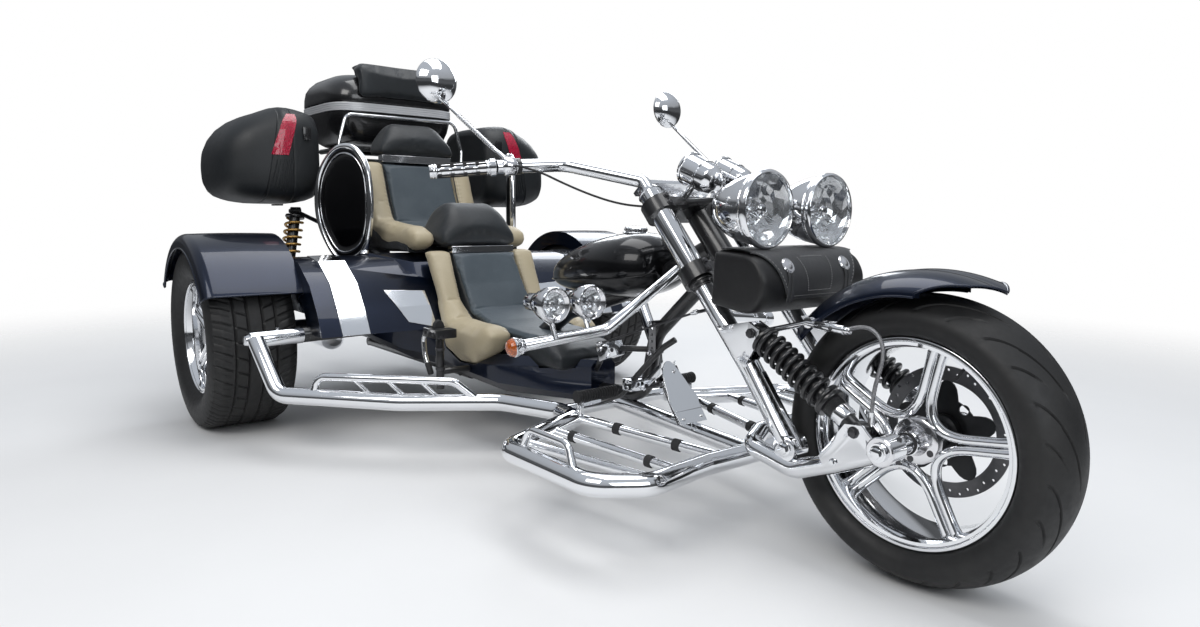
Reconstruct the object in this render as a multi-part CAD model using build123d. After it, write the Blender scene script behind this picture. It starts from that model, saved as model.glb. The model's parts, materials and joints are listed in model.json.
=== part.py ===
from build123d import *
from math import cos, hypot, radians, sin, tan
import os

# Motorized trike: one steered front wheel, two driven rear wheels, two seats in line and three cases.
# Millimetres. Stations are taken from the front axle: +X forward, +Y to the rider's left, z from the ground.
# write() moves each piece to the part's own frame, with its origin under the middle of the length.

# Wheels and running gear
WHEELBASE = 2300
FRONT_R = 320
FRONT_W = 195
FRONT_RIM_R = 230
FRONT_RIM_W = 152
REAR_R = 336
REAR_W = 295
REAR_RIM_R = 208
REAR_RIM_W = 238
REAR_TRACK = 1674
TYRE_SEAT = 0.2
AXLE_R = 12
STUB_R = 20
BEARING_GAP = 0.4
STAR_TURN = 10
FRONT_HUB_HALF = 62
SPACER_R = 19
SPACER_GAP = 0.5

# Steering head and fork, in the plane of the steering axis
RAKE = 41.3
HEAD_X = -563
HEAD_Z = 647
LEG_Y = 140
LEG_TOP = 276
LEG_BEND = -278
LEG_UPPER_R = 32
LEG_R = 27
FOOT_X = -248
FOOT_Z = 266
CLAMP_T = 44
UPPER_CLAMP_W = 222
STEM_R = 15
HEAD_TUBE_R = 34
LINK_Y = 150
LINK_R = 23
LINK_DROP = 46
SHOCK_TOP = (-351, 524)
SHOCK_EYE = (-65, 347)
SPRING_R = 37
SPRING_TURNS = 9
EYE_HALF = 14
REAR_SHOCK_TOP = (-2640, 470, 800)
REAR_SHOCK_EYE = (-2575, 560, 372)
DISC_R = 150
DISC_T = 5
DISC_Y = 88

# Bodywork
FENDER_T = 5
FENDER_GAP = 38
FRONT_FENDER_GAP = 42
FRONT_FENDER_W = 228
FRONT_FENDER_TIP = 24
FRONT_FENDER_ARC = 76
REAR_FENDER_CLEAR = 15.5
REAR_WALL_CLEAR = 13.5
BODY_TOP = 640
PLATE_T = 3
ENGINE_REAR = -2900
PLATE_BACK_X = -3022
PLATE_BACK_T = 8
PLATE_BACK_W = 260
PLATE_BACK_H = 130
PLATE_BACK_LOW = 560
PLATE_ARM_ROOT = -2740
PLATE_ARM_R = 14
RACK_X = -2700
RACK_HALF = 220
RACK_R = 12
ENGINE_HALF = 210
SHOULDER_IN = 200
STRIP_PLATE = (-605, -505)

# Cases
CASE_WALL = 5
TOP_CASE_W = 600
TOP_CASE_L = 520
TOP_CASE_FRONT = -2580
TOP_CASE_FLOOR = 1095
TOP_BASE_H = 187
TOP_TAPER_H = 70
TOP_RIM_H = 50
TOP_LID_H = 143
BAND_H = 40
SIDE_CASE_IN = 400
SIDE_CASE_SPLIT = 520
SIDE_CASE_OUT = 815
SIDE_CASE_L = 480
SIDE_CASE_H = 400
SIDE_CASE_X = -2725
SIDE_CASE_Z = 1030
LID_GAP = 0.5
TOP_HINGE_X = -2572
TOP_HINGE_R = 5
SIDE_HINGE_R = 3.5

# Tubes
RAIL_R = 28
STEP_R = 13
LOOP_R = 13
LOOP_FRONT = (-2170, 335)
HANDLEBAR_R = 19
GRIP_R = 17
LIGHT_BAR_R = 16

# Lamps
HEADLAMP_R = 95
HEADLAMP_Y = 122
HEADLAMP_X = -358
HEADLAMP_Z = 815
DRIVING_LAMP_R = 48

# Worked out from the sizes above
REAR_X = -WHEELBASE
REAR_Y = REAR_TRACK / 2
REAR_FENDER_OUT = REAR_Y + REAR_W / 2 + REAR_FENDER_CLEAR
REAR_FENDER_IN = REAR_Y - REAR_W / 2 - REAR_WALL_CLEAR
REAR_END = TOP_CASE_L - TOP_CASE_FRONT
TOP_CASE_SPLIT = TOP_CASE_FLOOR + TOP_BASE_H
TOP_CASE_TOP = TOP_CASE_SPLIT + TOP_LID_H
TOP_HINGE_Z = TOP_CASE_SPLIT + 4
SIDE_HINGE_Z = SIDE_CASE_Z - SIDE_CASE_H / 2 - 4
ORIGIN_SHIFT = (REAR_END - FRONT_R) / 2
RIGHT, LEFT = -1, 1
SIDES = (RIGHT, LEFT)

fork = Plane(
    origin=(HEAD_X, 0, HEAD_Z),
    x_dir=(cos(radians(RAKE)), 0, sin(radians(RAKE))),
    z_dir=(-sin(radians(RAKE)), 0, cos(radians(RAKE))),
)


def on_fork(u, v, w):
    """Point at u ahead of the steering axis, v to the left and w up along the axis from the lower clamp."""
    return fork.from_local_coords(Vector(u, v, w))


def mirrored(shape):
    return shape.mirror(Plane.XZ)


def both(shape):
    """A right-hand piece and its left-hand twin."""
    return [shape, mirrored(shape)]


def tube(points, radius, bends=None):
    """Round bar along straight runs, with an arc of the given radius at each corner."""
    points = [Vector(*p) for p in points]
    if len(points) == 2:
        path = Line(*points)
    else:
        path = FilletPolyline(*points, radius=bends)
    section = Plane(origin=path @ 0, z_dir=path % 0) * Circle(radius)
    return sweep(section, path=path)


def rod(start, end, radius, end_radius=None):
    """Straight round bar, or a cone when the far end has its own radius."""
    start, end = Vector(*start), Vector(*end)
    length = (end - start).length
    place = Plane(origin=start, z_dir=end - start)
    if end_radius is None or end_radius == radius:
        body = Cylinder(radius, length, align=(Align.CENTER, Align.CENTER, Align.MIN))
    else:
        body = Cone(radius, end_radius, length, align=(Align.CENTER, Align.CENTER, Align.MIN))
    return place * body


def ball(centre, radius):
    return Pos(*centre) * Sphere(radius)


def slab(points, y_from, y_to):
    """Flat piece with an outline in the side view, between two distances from the centre plane."""
    face = make_face(Polyline(*[(x, z) for x, z in points], close=True))
    plane = Plane(origin=(0, y_from, 0), x_dir=(1, 0, 0), z_dir=(0, -1, 0))
    return extrude(plane * face, -(y_to - y_from))


def union(shapes):
    total = shapes[0]
    for shape in shapes[1:]:
        total = total + shape
    return total


def less(shape, cut):
    """Shape without the pieces in a list."""
    for piece in cut:
        shape = shape - piece
    return shape


def rounded(shape, radius):
    return fillet(shape.edges(), radius)


def block(x, y, z, edge=0):
    """Box between pairs of limits, with its edges rounded when an edge radius is given."""
    body = Pos((x[0] + x[1]) / 2, (y[0] + y[1]) / 2, (z[0] + z[1]) / 2) * Box(
        x[1] - x[0], y[1] - y[0], z[1] - z[0]
    )
    return fillet(body.edges(), edge) if edge else body


def wheel_plane(x, y, z):
    """Plane for a section to be turned about a wheel's axle: its x is the radius, its y runs outward."""
    return Plane(origin=(x, y, z), x_dir=(0, 0, 1), z_dir=(-1, 0, 0))


# Wheels


def front_tyre():
    half, bead, shoulder = FRONT_W / 2, FRONT_RIM_R - 12 + TYRE_SEAT, FRONT_R - 30
    rim_half = FRONT_RIM_W / 2 - 6 - TYRE_SEAT
    lip = FRONT_RIM_R + 1
    side = (lip + shoulder) / 2
    outline = [
        Line((bead, -rim_half), (bead, rim_half)),
        Line((bead, rim_half), (lip, rim_half)),
        ThreePointArc((lip, rim_half), (side, half), (shoulder, half - 12)),
        ThreePointArc((shoulder, half - 12), (FRONT_R, 0), (shoulder, -half + 12)),
        ThreePointArc((shoulder, -half + 12), (side, -half), (lip, -rim_half)),
        Line((lip, -rim_half), (bead, -rim_half)),
    ]
    section = wheel_plane(0, 0, FRONT_R) * make_face(outline)
    return revolve(section, Axis((0, 0, FRONT_R), (0, 1, 0)))


def rear_tyre(side):
    half, bead, shoulder = REAR_W / 2, REAR_RIM_R - 12 + TYRE_SEAT, REAR_R - 14
    rim_half = REAR_RIM_W / 2 - 6 - TYRE_SEAT
    lip = REAR_RIM_R + 1
    outline = [
        Line((bead, -rim_half), (bead, rim_half)),
        Line((bead, rim_half), (lip, rim_half)),
        ThreePointArc((lip, rim_half), (REAR_R - 66, half), (shoulder, half - 12)),
        Line((shoulder, half - 12), (REAR_R, half - 40)),
        Line((REAR_R, half - 40), (REAR_R, 40 - half)),
        Line((REAR_R, 40 - half), (shoulder, 12 - half)),
        ThreePointArc((shoulder, 12 - half), (REAR_R - 66, -half), (lip, -rim_half)),
        Line((lip, -rim_half), (bead, -rim_half)),
    ]
    section = wheel_plane(REAR_X, side * REAR_Y, REAR_R) * make_face(outline)
    return revolve(section, Axis((REAR_X, side * REAR_Y, REAR_R), (0, 1, 0)))


def rim_barrel(radius, half, wall):
    """Section of a wheel's barrel with its two lips, as radius and distance from the wheel's middle."""
    seat = radius - 12
    return Polyline(
        (radius, -half), (radius, 5 - half), (seat, 6 - half), (seat, half - 6),
        (radius, half - 5), (radius, half), (seat - wall, half), (seat - wall - 6, half - 16),
        (seat - wall - 6, 16 - half), (seat - wall, -half), close=True,
    )


def y_spoke(hub_r, fork_r, reach, stem_w, arm_w):
    """Outline of one spoke along +Y of its sketch: a stem from the rim that forks in two at the hub."""
    a = radians(36)
    meet = Vector(hub_r * 1.12 * sin(a), hub_r * 1.12 * cos(a))
    along = (Vector(0, fork_r) - meet).normalized()
    across = Vector(along.Y, -along.X) * (arm_w / 2)
    outer_low, inner_low = meet - across, meet + across
    if outer_low.X < inner_low.X:
        outer_low, inner_low = inner_low, outer_low
    arm = Polyline(
        (outer_low.X, outer_low.Y), (stem_w * 0.62, fork_r), (0, fork_r + arm_w * 0.4),
        (0, fork_r - arm_w * 0.75), (inner_low.X, inner_low.Y), close=True,
    )
    arm = make_face(arm)
    stem = make_face(Polyline(
        (-stem_w * 0.62, fork_r - 4), (stem_w * 0.62, fork_r - 4), (stem_w * 0.44, fork_r + 34),
        (stem_w * 0.42, reach), (-stem_w * 0.42, reach), (-stem_w * 0.44, fork_r + 34), close=True,
    ))
    return arm + arm.mirror(Plane.YZ) + stem


def wheel_rim(centre, radius, half, bore, spokes, dish, hub_half, side):
    """Cast rim: barrel, hub and forked spokes whose thickness follows a turned envelope."""
    x, y, z = centre
    axis = Axis((x, y, z), (0, 1, 0))
    wall = 7
    barrel = revolve(wheel_plane(x, y, z) * make_face(rim_barrel(radius, half, wall)), axis)
    inner = radius - 12 - wall - 3
    hub_r = bore + 22
    face = side * dish
    envelope = make_face(Polyline(
        (bore, face + side * 12), (hub_r + 6, face + side * 8), (inner, face),
        (inner, face - side * 20), (hub_r + 6, face - side * 44), (bore, face - side * 50), close=True,
    ))
    envelope = revolve(wheel_plane(x, y, z) * envelope, axis)
    flat = Plane(origin=(x, y - 400, z), x_dir=(1, 0, 0), z_dir=(0, 1, 0))
    star = None
    for i in range(5):
        arm = Rot(0, 0, 72 * i + 36 + STAR_TURN) * y_spoke(hub_r, *spokes)
        arm = extrude(flat * arm, 800)
        star = arm if star is None else star + arm
    hub = rod((x, y - hub_half, z), (x, y + hub_half, z), hub_r)
    wheel = barrel + (star & envelope) + hub
    return wheel - rod((x, y - 400, z), (x, y + 400, z), bore)


def front_rim():
    spokes = (106, FRONT_RIM_R - 18, 36, 24)
    return wheel_rim(
        (0, 0, FRONT_R), FRONT_RIM_R, FRONT_RIM_W / 2, AXLE_R + BEARING_GAP,
        spokes, 34, FRONT_HUB_HALF, RIGHT,
    )


def rear_rim(side):
    spokes = (112, REAR_RIM_R - 18, 44, 28)
    return wheel_rim(
        (REAR_X, side * REAR_Y, REAR_R), REAR_RIM_R, REAR_RIM_W / 2, STUB_R + BEARING_GAP,
        spokes, 62, 96, side,
    )


def front_disc():
    """Brake disc on the left of the front hub, with its carrier and a ring of holes."""
    disc = rod((0, DISC_Y, FRONT_R), (0, DISC_Y + DISC_T, FRONT_R), DISC_R)
    disc -= rod((0, DISC_Y - 1, FRONT_R), (0, DISC_Y + DISC_T + 1, FRONT_R), DISC_R - 36)
    carrier = rod((0, FRONT_HUB_HALF, FRONT_R), (0, DISC_Y + DISC_T - 1, FRONT_R), 46)
    arms = [
        Pos(0, DISC_Y + DISC_T / 2, FRONT_R) * Rot(0, 72 * i, 0) * Pos(0, 0, 80) * Box(26, DISC_T, 90)
        for i in range(5)
    ]
    disc = disc + carrier + union(arms)
    return disc - rod((0, 0, FRONT_R), (0, 200, FRONT_R), AXLE_R + BEARING_GAP)


# Fork


def clevis_cheeks(side):
    """The two plates that hold a shock's eye, as distances from the centre plane."""
    inner, outer = EYE_HALF + 1, EYE_HALF + 9
    return [
        (side * (LINK_Y - outer), side * (LINK_Y - inner)),
        (side * (LINK_Y + inner), side * (LINK_Y + outer)),
    ]


def fork_legs():
    """Two legs: a thick upper tube, a slimmer run below the clamp, and a bent foot with its gusset."""
    legs = []
    for side in SIDES:
        v = side * LEG_Y
        upper = rod(on_fork(0, v, -CLAMP_T / 2), on_fork(0, v, LEG_TOP), LEG_UPPER_R)
        cap = rod(on_fork(0, v, LEG_TOP), on_fork(0, v, LEG_TOP + 14), LEG_UPPER_R + 3, LEG_UPPER_R - 6)
        foot = (FOOT_X, v, FOOT_Z)
        lower = tube([on_fork(0, v, -10), on_fork(0, v, LEG_BEND), foot], LEG_R, [90])
        pivot = rod((FOOT_X, v - 26, FOOT_Z), (FOOT_X, v + 26, FOOT_Z), 30)
        bend = on_fork(0, v, LEG_BEND)
        top = on_fork(0, v, LEG_BEND + 120)
        clevis = [
            slab(
                [
                    (top.X, top.Z), (SHOCK_TOP[0] - 10, SHOCK_TOP[1] + 26),
                    (SHOCK_TOP[0] + 24, SHOCK_TOP[1] + 10), (SHOCK_TOP[0] + 20, SHOCK_TOP[1] - 22),
                    (bend.X + 10, bend.Z),
                ],
                min(near, far), max(near, far),
            )
            for near, far in clevis_cheeks(side)
        ]
        heel = slab(
            [(bend.X, bend.Z), (bend.X + 44, bend.Z - 8), (FOOT_X + 34, FOOT_Z + 6), (FOOT_X, FOOT_Z)],
            v - 8, v + 8,
        )
        eye_y = side * LINK_Y
        pin = rod((SHOCK_TOP[0], eye_y - 26, SHOCK_TOP[1]), (SHOCK_TOP[0], eye_y + 26, SHOCK_TOP[1]), 9)
        skirt = side * FRONT_FENDER_W / 2
        stay = rod((SHOCK_TOP[0], eye_y - side * 20, SHOCK_TOP[1]), (-225, skirt + side * 8, 560), 7)
        pad = rod((-225, skirt, 560), (-225, skirt + side * 14, 560), 13)
        legs.append(union([upper, cap, lower, pivot, heel, pin, stay, pad] + clevis))
    return legs


def fork_clamps(legs):
    """Lower and upper yokes on the steering stem, with the bracket that carries both headlamps."""
    parts = []
    for w in (0, UPPER_CLAMP_W):
        plate = fork * Pos(0, 0, w) * Box(74, 2 * LEG_Y, CLAMP_T * 0.7)
        parts.append(plate)
        for side in SIDES:
            v = side * LEG_Y
            parts.append(rod(on_fork(0, v, w - CLAMP_T / 2), on_fork(0, v, w + CLAMP_T / 2), 44))
    parts.append(rod(on_fork(0, 0, 0), on_fork(0, 0, UPPER_CLAMP_W), STEM_R))
    for side in SIDES:
        parts.append(tube(
            [on_fork(30, side * 60, UPPER_CLAMP_W), (HEADLAMP_X - 190, side * 62, 838),
             (HEADLAMP_X - 90, side * HEADLAMP_Y, HEADLAMP_Z - 60)], 10, [40],
        ))
        parts.append(rod(on_fork(20, side * 70, 0), (HEADLAMP_X - 70, side * 70, 668), 9))
    body = union(parts)
    return less(body, legs)


def front_link():
    """Leading link: one tube that goes round behind the tyre, with the axle and spacers in its ends."""
    y = LINK_Y
    low = FOOT_Z - LINK_DROP
    path = [
        (-14, -y, FRONT_R - 12), (-120, -y, 262), (FOOT_X + 20, -y, low), (FOOT_X - 110, -y, low + 26),
        (FOOT_X - 138, -y + 70, low + 44), (FOOT_X - 138, y - 70, low + 44), (FOOT_X - 110, y, low + 26),
        (FOOT_X + 20, y, low), (-120, y, 262), (-14, y, FRONT_R - 12),
    ]
    loop = tube(path, LINK_R, [60, 60, 40, 30, 30, 40, 60, 60])
    parts = [loop, rod((0, -y - 34, FRONT_R), (0, y + 34, FRONT_R), AXLE_R)]
    for side in SIDES:
        parts.append(rod((0, side * (y - 28), FRONT_R), (0, side * (y + 24), FRONT_R), 30))
        parts.append(rod((0, side * (y + 24), FRONT_R), (0, side * (y + 36), FRONT_R), 20))
        hub_end = SPACER_GAP + (FRONT_HUB_HALF if side == RIGHT else DISC_Y + DISC_T)
        parts.append(rod((0, side * hub_end, FRONT_R), (0, side * (y - 28), FRONT_R), SPACER_R))
        eye_x, eye_z = SHOCK_EYE
        for near, far in clevis_cheeks(side):
            parts.append(slab(
                [(eye_x - 22, eye_z + 14), (eye_x + 18, eye_z + 18), (-10, FRONT_R + 10),
                 (-20, FRONT_R - 20), (-130, 250), (-150, 275)],
                min(near, far), max(near, far),
            ))
        parts.append(rod((eye_x, side * y - 24, eye_z), (eye_x, side * y + 24, eye_z), 9))
    return union(parts)


def front_shocks(cut):
    """Coil-over shocks: a ribbed spring over a slim body, with an eye at each end."""
    shocks = []
    for side in SIDES:
        top = Vector(SHOCK_TOP[0], side * LINK_Y, SHOCK_TOP[1])
        eye = Vector(SHOCK_EYE[0], side * LINK_Y, SHOCK_EYE[1])
        length = (eye - top).length
        place = Plane(origin=top, x_dir=(0, 1, 0), z_dir=eye - top)
        spring_from, spring_to = 30, length - 96
        pitch = (spring_to - spring_from) / SPRING_TURNS
        points = [(0, 16), (18, 16), (SPRING_R - 4, spring_from - 4)]
        for i in range(SPRING_TURNS):
            z = spring_from + i * pitch
            points += [(SPRING_R, z + pitch * 0.2), (SPRING_R, z + pitch * 0.5)]
            points.append((SPRING_R - 9, z + pitch * 0.85))
        points += [
            (SPRING_R, spring_to), (SPRING_R, spring_to + 8), (24, spring_to + 14),
            (24, length - 34), (16, length - 12), (0, length - 12),
        ]
        section = place * (Plane.XZ * make_face(Polyline(*points, close=True)))
        body = revolve(section, Axis(top, eye - top))
        for centre in (top, eye):
            body += rod(centre - Vector(0, EYE_HALF, 0), centre + Vector(0, EYE_HALF, 0), 20)
        shocks.append(less(body, cut))
    return shocks


def front_fender():
    """Short front mudguard with turned-down sides, round the upper rear of the tyre."""
    r_out = FRONT_R + FRONT_FENDER_GAP + FENDER_T
    half = FRONT_FENDER_W / 2
    skirt = FRONT_R - 2
    crown = 40
    outline = [
        Line((skirt, -half), (r_out - crown, -half)),
        ThreePointArc((r_out - crown, -half), (r_out - 11, -half * 0.72), (r_out, 0)),
        ThreePointArc((r_out, 0), (r_out - 11, half * 0.72), (r_out - crown, half)),
        Line((r_out - crown, half), (skirt, half)),
        Line((skirt, half), (skirt, half - FENDER_T)),
        Line((skirt, half - FENDER_T), (r_out - crown, half - FENDER_T)),
        ThreePointArc(
            (r_out - crown, half - FENDER_T), (r_out - 11 - FENDER_T, half * 0.69), (r_out - FENDER_T, 0)
        ),
        ThreePointArc(
            (r_out - FENDER_T, 0), (r_out - 11 - FENDER_T, -half * 0.69), (r_out - crown, FENDER_T - half)
        ),
        Line((r_out - crown, FENDER_T - half), (skirt, FENDER_T - half)),
        Line((skirt, FENDER_T - half), (skirt, -half)),
    ]
    section = wheel_plane(0, 0, FRONT_R) * make_face(outline)
    axis = Axis((0, 0, FRONT_R), (0, 1, 0))
    arch = revolve(section.rotate(axis, FRONT_FENDER_TIP), axis, -FRONT_FENDER_ARC)
    tip_x = r_out * sin(radians(FRONT_FENDER_TIP))
    for side in SIDES:
        wedge = make_face(Polyline(
            (tip_x + 5, side * 2), (tip_x - 70, side * half * 0.62), (tip_x - 190, side * (half + 2)),
            (tip_x + 5, side * (half + 60)), close=True,
        ))
        arch -= extrude(wedge, FRONT_R + r_out + 10)
    return arch



# Handlebar and what rides with the steering

BAR_ROOT_W = LEG_TOP + 14
BAR_BEND = (-990, 250, 939)
BAR_OUT = (-1028, 455, 925)
GRIP_END = (-1105, 612, 909)
MIRROR = (-1322, 474, 1188)


def handlebar():
    """Two pull-back tubes from the fork's caps, joined by a flat bridge, and bent out to the grips."""
    parts = []
    for side in SIDES:
        root = on_fork(0, side * LEG_Y, BAR_ROOT_W)
        rise = on_fork(0, side * LEG_Y, BAR_ROOT_W + 34)
        knee = (rise.X - 30, side * (LEG_Y + 12), rise.Z + 12)
        bend = (BAR_BEND[0], side * BAR_BEND[1], BAR_BEND[2])
        out = (BAR_OUT[0], side * BAR_OUT[1], BAR_OUT[2])
        parts.append(tube([root, rise, bend, out], HANDLEBAR_R, [26, 60]))
        parts.append(rod(*grip_span(side), HANDLEBAR_R - 6))
    parts.append(fork * Pos(-22, 0, BAR_ROOT_W + 30) * Box(56, 2 * LEG_Y, 12))
    return union(parts)


def grip_span(side):
    """Start and end of one grip, on the line of the bar's outer run."""
    start = Vector(BAR_OUT[0], side * BAR_OUT[1], BAR_OUT[2])
    end = Vector(GRIP_END[0], side * GRIP_END[1], GRIP_END[2])
    return start, end


def hand_grips(bar):
    """Ribbed grips with a collar, a perch for the control on each, and a short lever."""
    grips = []
    for side in SIDES:
        start, end = grip_span(side)
        place = Plane(origin=start, z_dir=end - start)
        length = (end - start).length
        points = [(0, 2), (24, 2), (24, 16), (GRIP_R, 20)]
        ribs = 4
        pitch = (length - 40) / ribs
        for i in range(ribs):
            z = 22 + i * pitch
            points += [(GRIP_R, z), (GRIP_R, z + pitch * 0.7), (GRIP_R - 2, z + pitch * 0.76),
                       (GRIP_R - 2, z + pitch * 0.94)]
        points += [(GRIP_R + 1, length - 14), (GRIP_R + 1, length + 4), (0, length + 4)]
        section = place * (Plane.XZ * make_face(Polyline(*points, close=True)))
        grips.append(revolve(section, Axis(start, end - start)) - bar)
    return grips


def mirrors(cut):
    """Round mirrors in teardrop shells on long stems that are clamped to the bar."""
    made = []
    for side in SIDES:
        start, end = grip_span(side)
        foot = start + (start - end).normalized() * 30
        foot = Vector(foot.X, foot.Y, foot.Z)
        clamp = rod(foot - (end - start).normalized() * 9, foot + (end - start).normalized() * 9, 27)
        head = Vector(MIRROR[0], side * MIRROR[1], MIRROR[2])
        neck = head + Vector(4, 0, -46)
        stem = rod(foot + Vector(-4, 0, 16), neck, 6.5, 5)
        glass = Plane(origin=head - Vector(4, 0, 0), z_dir=(1, 0, 0.08))
        shell = glass * Cone(64, 22, 34, align=(Align.CENTER, Align.CENTER, Align.MIN))
        rim = glass * Cylinder(66, 8, align=(Align.CENTER, Align.CENTER, Align.MAX))
        made.append(union([clamp, stem, shell, rim]) - cut)
    return made


def lamp_section(radius, depth, lip):
    """Half section of a bullet-shaped lamp bucket: radius and distance behind the lens."""
    return [
        Line((0, 0), (0, -depth)),
        ThreePointArc((0, -depth), (radius * 0.66, -depth * 0.78), (radius, -depth * 0.28)),
        Line((radius, -depth * 0.28), (radius, -lip)),
        Line((radius, -lip), (radius + 5, -lip)),
        Line((radius + 5, -lip), (radius + 5, 4)),
        Line((radius + 5, 4), (radius - 5, 6)),
        Line((radius - 5, 6), (radius - 5, 0)),
        Line((radius - 5, 0), (0, 0)),
    ]


def headlamps(cut):
    """Two chromed buckets side by side in front of the fork."""
    made = []
    for side in SIDES:
        place = Plane(origin=(HEADLAMP_X, side * HEADLAMP_Y, HEADLAMP_Z), x_dir=(0, 1, 0), z_dir=(1, 0, 0))
        section = place * (Plane.XZ * make_face(lamp_section(HEADLAMP_R - 5, 165, 16)))
        body = revolve(section, Axis(place.origin, place.z_dir))
        made.append(body - cut)
    return made


def headlamp_lenses():
    """Clear domed lenses that seat inside the bezels."""
    made = []
    for side in SIDES:
        place = Plane(origin=(HEADLAMP_X, side * HEADLAMP_Y, HEADLAMP_Z), x_dir=(0, 1, 0), z_dir=(1, 0, 0))
        radius, rise = HEADLAMP_R - 10.5, 12
        ball_r = (radius ** 2 + rise ** 2) / (2 * rise)
        disc = Pos(0, 0, 0.2) * Cylinder(radius, 30, align=(Align.CENTER, Align.CENTER, Align.MIN))
        dome = disc & (Pos(0, 0, rise + 3 - ball_r) * Sphere(ball_r))
        made.append(place * dome)
    return made


def gauge_pods(cut):
    """Two chrome instrument cups on the bridge between the fork's caps, with dials that face the rider."""
    made = []
    for side, radius in ((RIGHT, 43), (LEFT, 38)):
        centre = Vector(-632, side * 62, 908)
        dial = Vector(-0.93, 0, 0.36)
        back = centre - dial * 46
        face = centre + dial * 40
        cup = rod(back, face, radius - 5, radius) + rod(face, face + dial * 8, radius + 4)
        nose = rod(back - dial * 14, back, radius - 16, radius - 5)
        foot = rod(centre, on_fork(0, side * 62, UPPER_CLAMP_W + CLAMP_T * 0.35), 10)
        made.append(union([cup, nose, foot]) - cut)
    return made


def tool_roll(cut):
    """Leather roll strapped across the fork under the lamps."""
    x, z, half = -372, 642, 205
    outline = [
        Line((x - 92, z - 60), (x + 10, z - 76)),
        ThreePointArc((x + 10, z - 76), (x + 82, z - 4), (x + 20, z + 74)),
        Line((x + 20, z + 74), (x - 84, z + 78)),
        Line((x - 84, z + 78), (x - 92, z - 60)),
    ]
    plane = Plane(origin=(0, -half, 0), x_dir=(1, 0, 0), z_dir=(0, -1, 0))
    return extrude(plane * make_face(outline), -2 * half) - cut


# Chassis


def head_tube():
    body = rod(on_fork(0, 0, 24), on_fork(0, 0, UPPER_CLAMP_W - 24), HEAD_TUBE_R)
    return body - rod(on_fork(0, 0, 0), on_fork(0, 0, UPPER_CLAMP_W), STEM_R + BEARING_GAP)


def frame_tubes(cut):
    """Backbone, down tubes and cross members that tie the head to the rear axle."""
    neck = on_fork(-20, 0, 100)
    low = on_fork(-22, 0, 44)
    parts = [
        head_tube(),
        tube([neck, (-900, 0, 590), (-1300, 0, 470), (-1560, 0, 300)], 30, [200, 150]),
        tube([low, (-862, 0, 440), (-900, 0, 250), (-1120, 0, 228)], 22, [120, 80]),
    ]
    for side in SIDES:
        parts.append(tube([(-1700, side * 150, 205), (-2620, side * 150, 205)], 22))
        parts.append(rod((-2360, side * 150, 205), (-2360, side * 150, 425), 20))
        parts.append(rod((-2620, side * 150, 205), (-2620, side * 150, 425), 20))
    parts.append(rod((-2620, -170, 205), (-2620, 170, 205), 18))
    parts.append(rod((-1760, -170, 205), (-1760, 170, 205), 18))
    bore = rod(on_fork(0, 0, 0), on_fork(0, 0, UPPER_CLAMP_W), STEM_R + BEARING_GAP)
    return less(union(parts), [bore] + cut)


def section_face(x, half, low, high, chamfer):
    """Eight-sided cross section of the tub at a station."""
    c = chamfer
    points = [
        (-half + c, low), (half - c, low), (half, low + c), (half, high - c),
        (half - c, high), (c - half, high), (-half, high - c), (-half, low + c),
    ]
    plane = Plane(origin=(x, 0, 0), x_dir=(0, 1, 0), z_dir=(1, 0, 0))
    return plane * make_face(Polyline(*points, close=True))


SHOULDER_FRONT = [(-2120, 632), (-2010, 618), (-1900, 545), (-1835, 455), (-1790, 372)]

TUB_STATIONS = (
    # station, half width, underside, top, chamfer
    (-2750, 410, 430, 600, 40),
    (-2100, 410, 300, BODY_TOP, 40),
    (-1950, 300, 235, 610, 40),
    (-1830, 226, 222, 430, 36),
    (-1650, 226, 205, 300, 34),
    (-1420, 212, 190, 318, 34),
    (-1110, 50, 190, 330, 20),
)

# Corner plate on the shoulder's front, as distances from the centre plane and heights
CORNER_PLATE = [(-415, 516), (-255, 508), (-245, 376), (-352, 402)]


def body_tub(cut):
    """Painted tub round the seats, with a shoulder on each side that meets the mudguard."""
    tub = loft([section_face(*row) for row in TUB_STATIONS], ruled=True)
    shoulder = slab(
        [(-2490, 600)] + SHOULDER_FRONT + [(-1925, 372), (-1960, 440), (-2490, 440)],
        -REAR_FENDER_IN, -SHOULDER_IN,
    )
    return less(tub + shoulder + mirrored(shoulder), cut)


def polished_plates(tub):
    """Bright trim plates that lie on the shoulders: a long strip and a corner plate beside the seat."""
    strip = slab(lay(SHOULDER_FRONT, PLATE_T), *STRIP_PLATE)
    corner = Plane(origin=(-2000, 0, 0), x_dir=(0, 1, 0), z_dir=(1, 0, 0))
    corner = extrude(corner * make_face(Polyline(*CORNER_PLATE, close=True)), 300)
    corner = corner & slab(lay(SHOULDER_FRONT, PLATE_T), -REAR_FENDER_IN, -SHOULDER_IN)
    made = []
    for plate in (strip, corner):
        plate = less(plate, [tub])
        made += [plate, mirrored(plate)]
    return made


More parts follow.
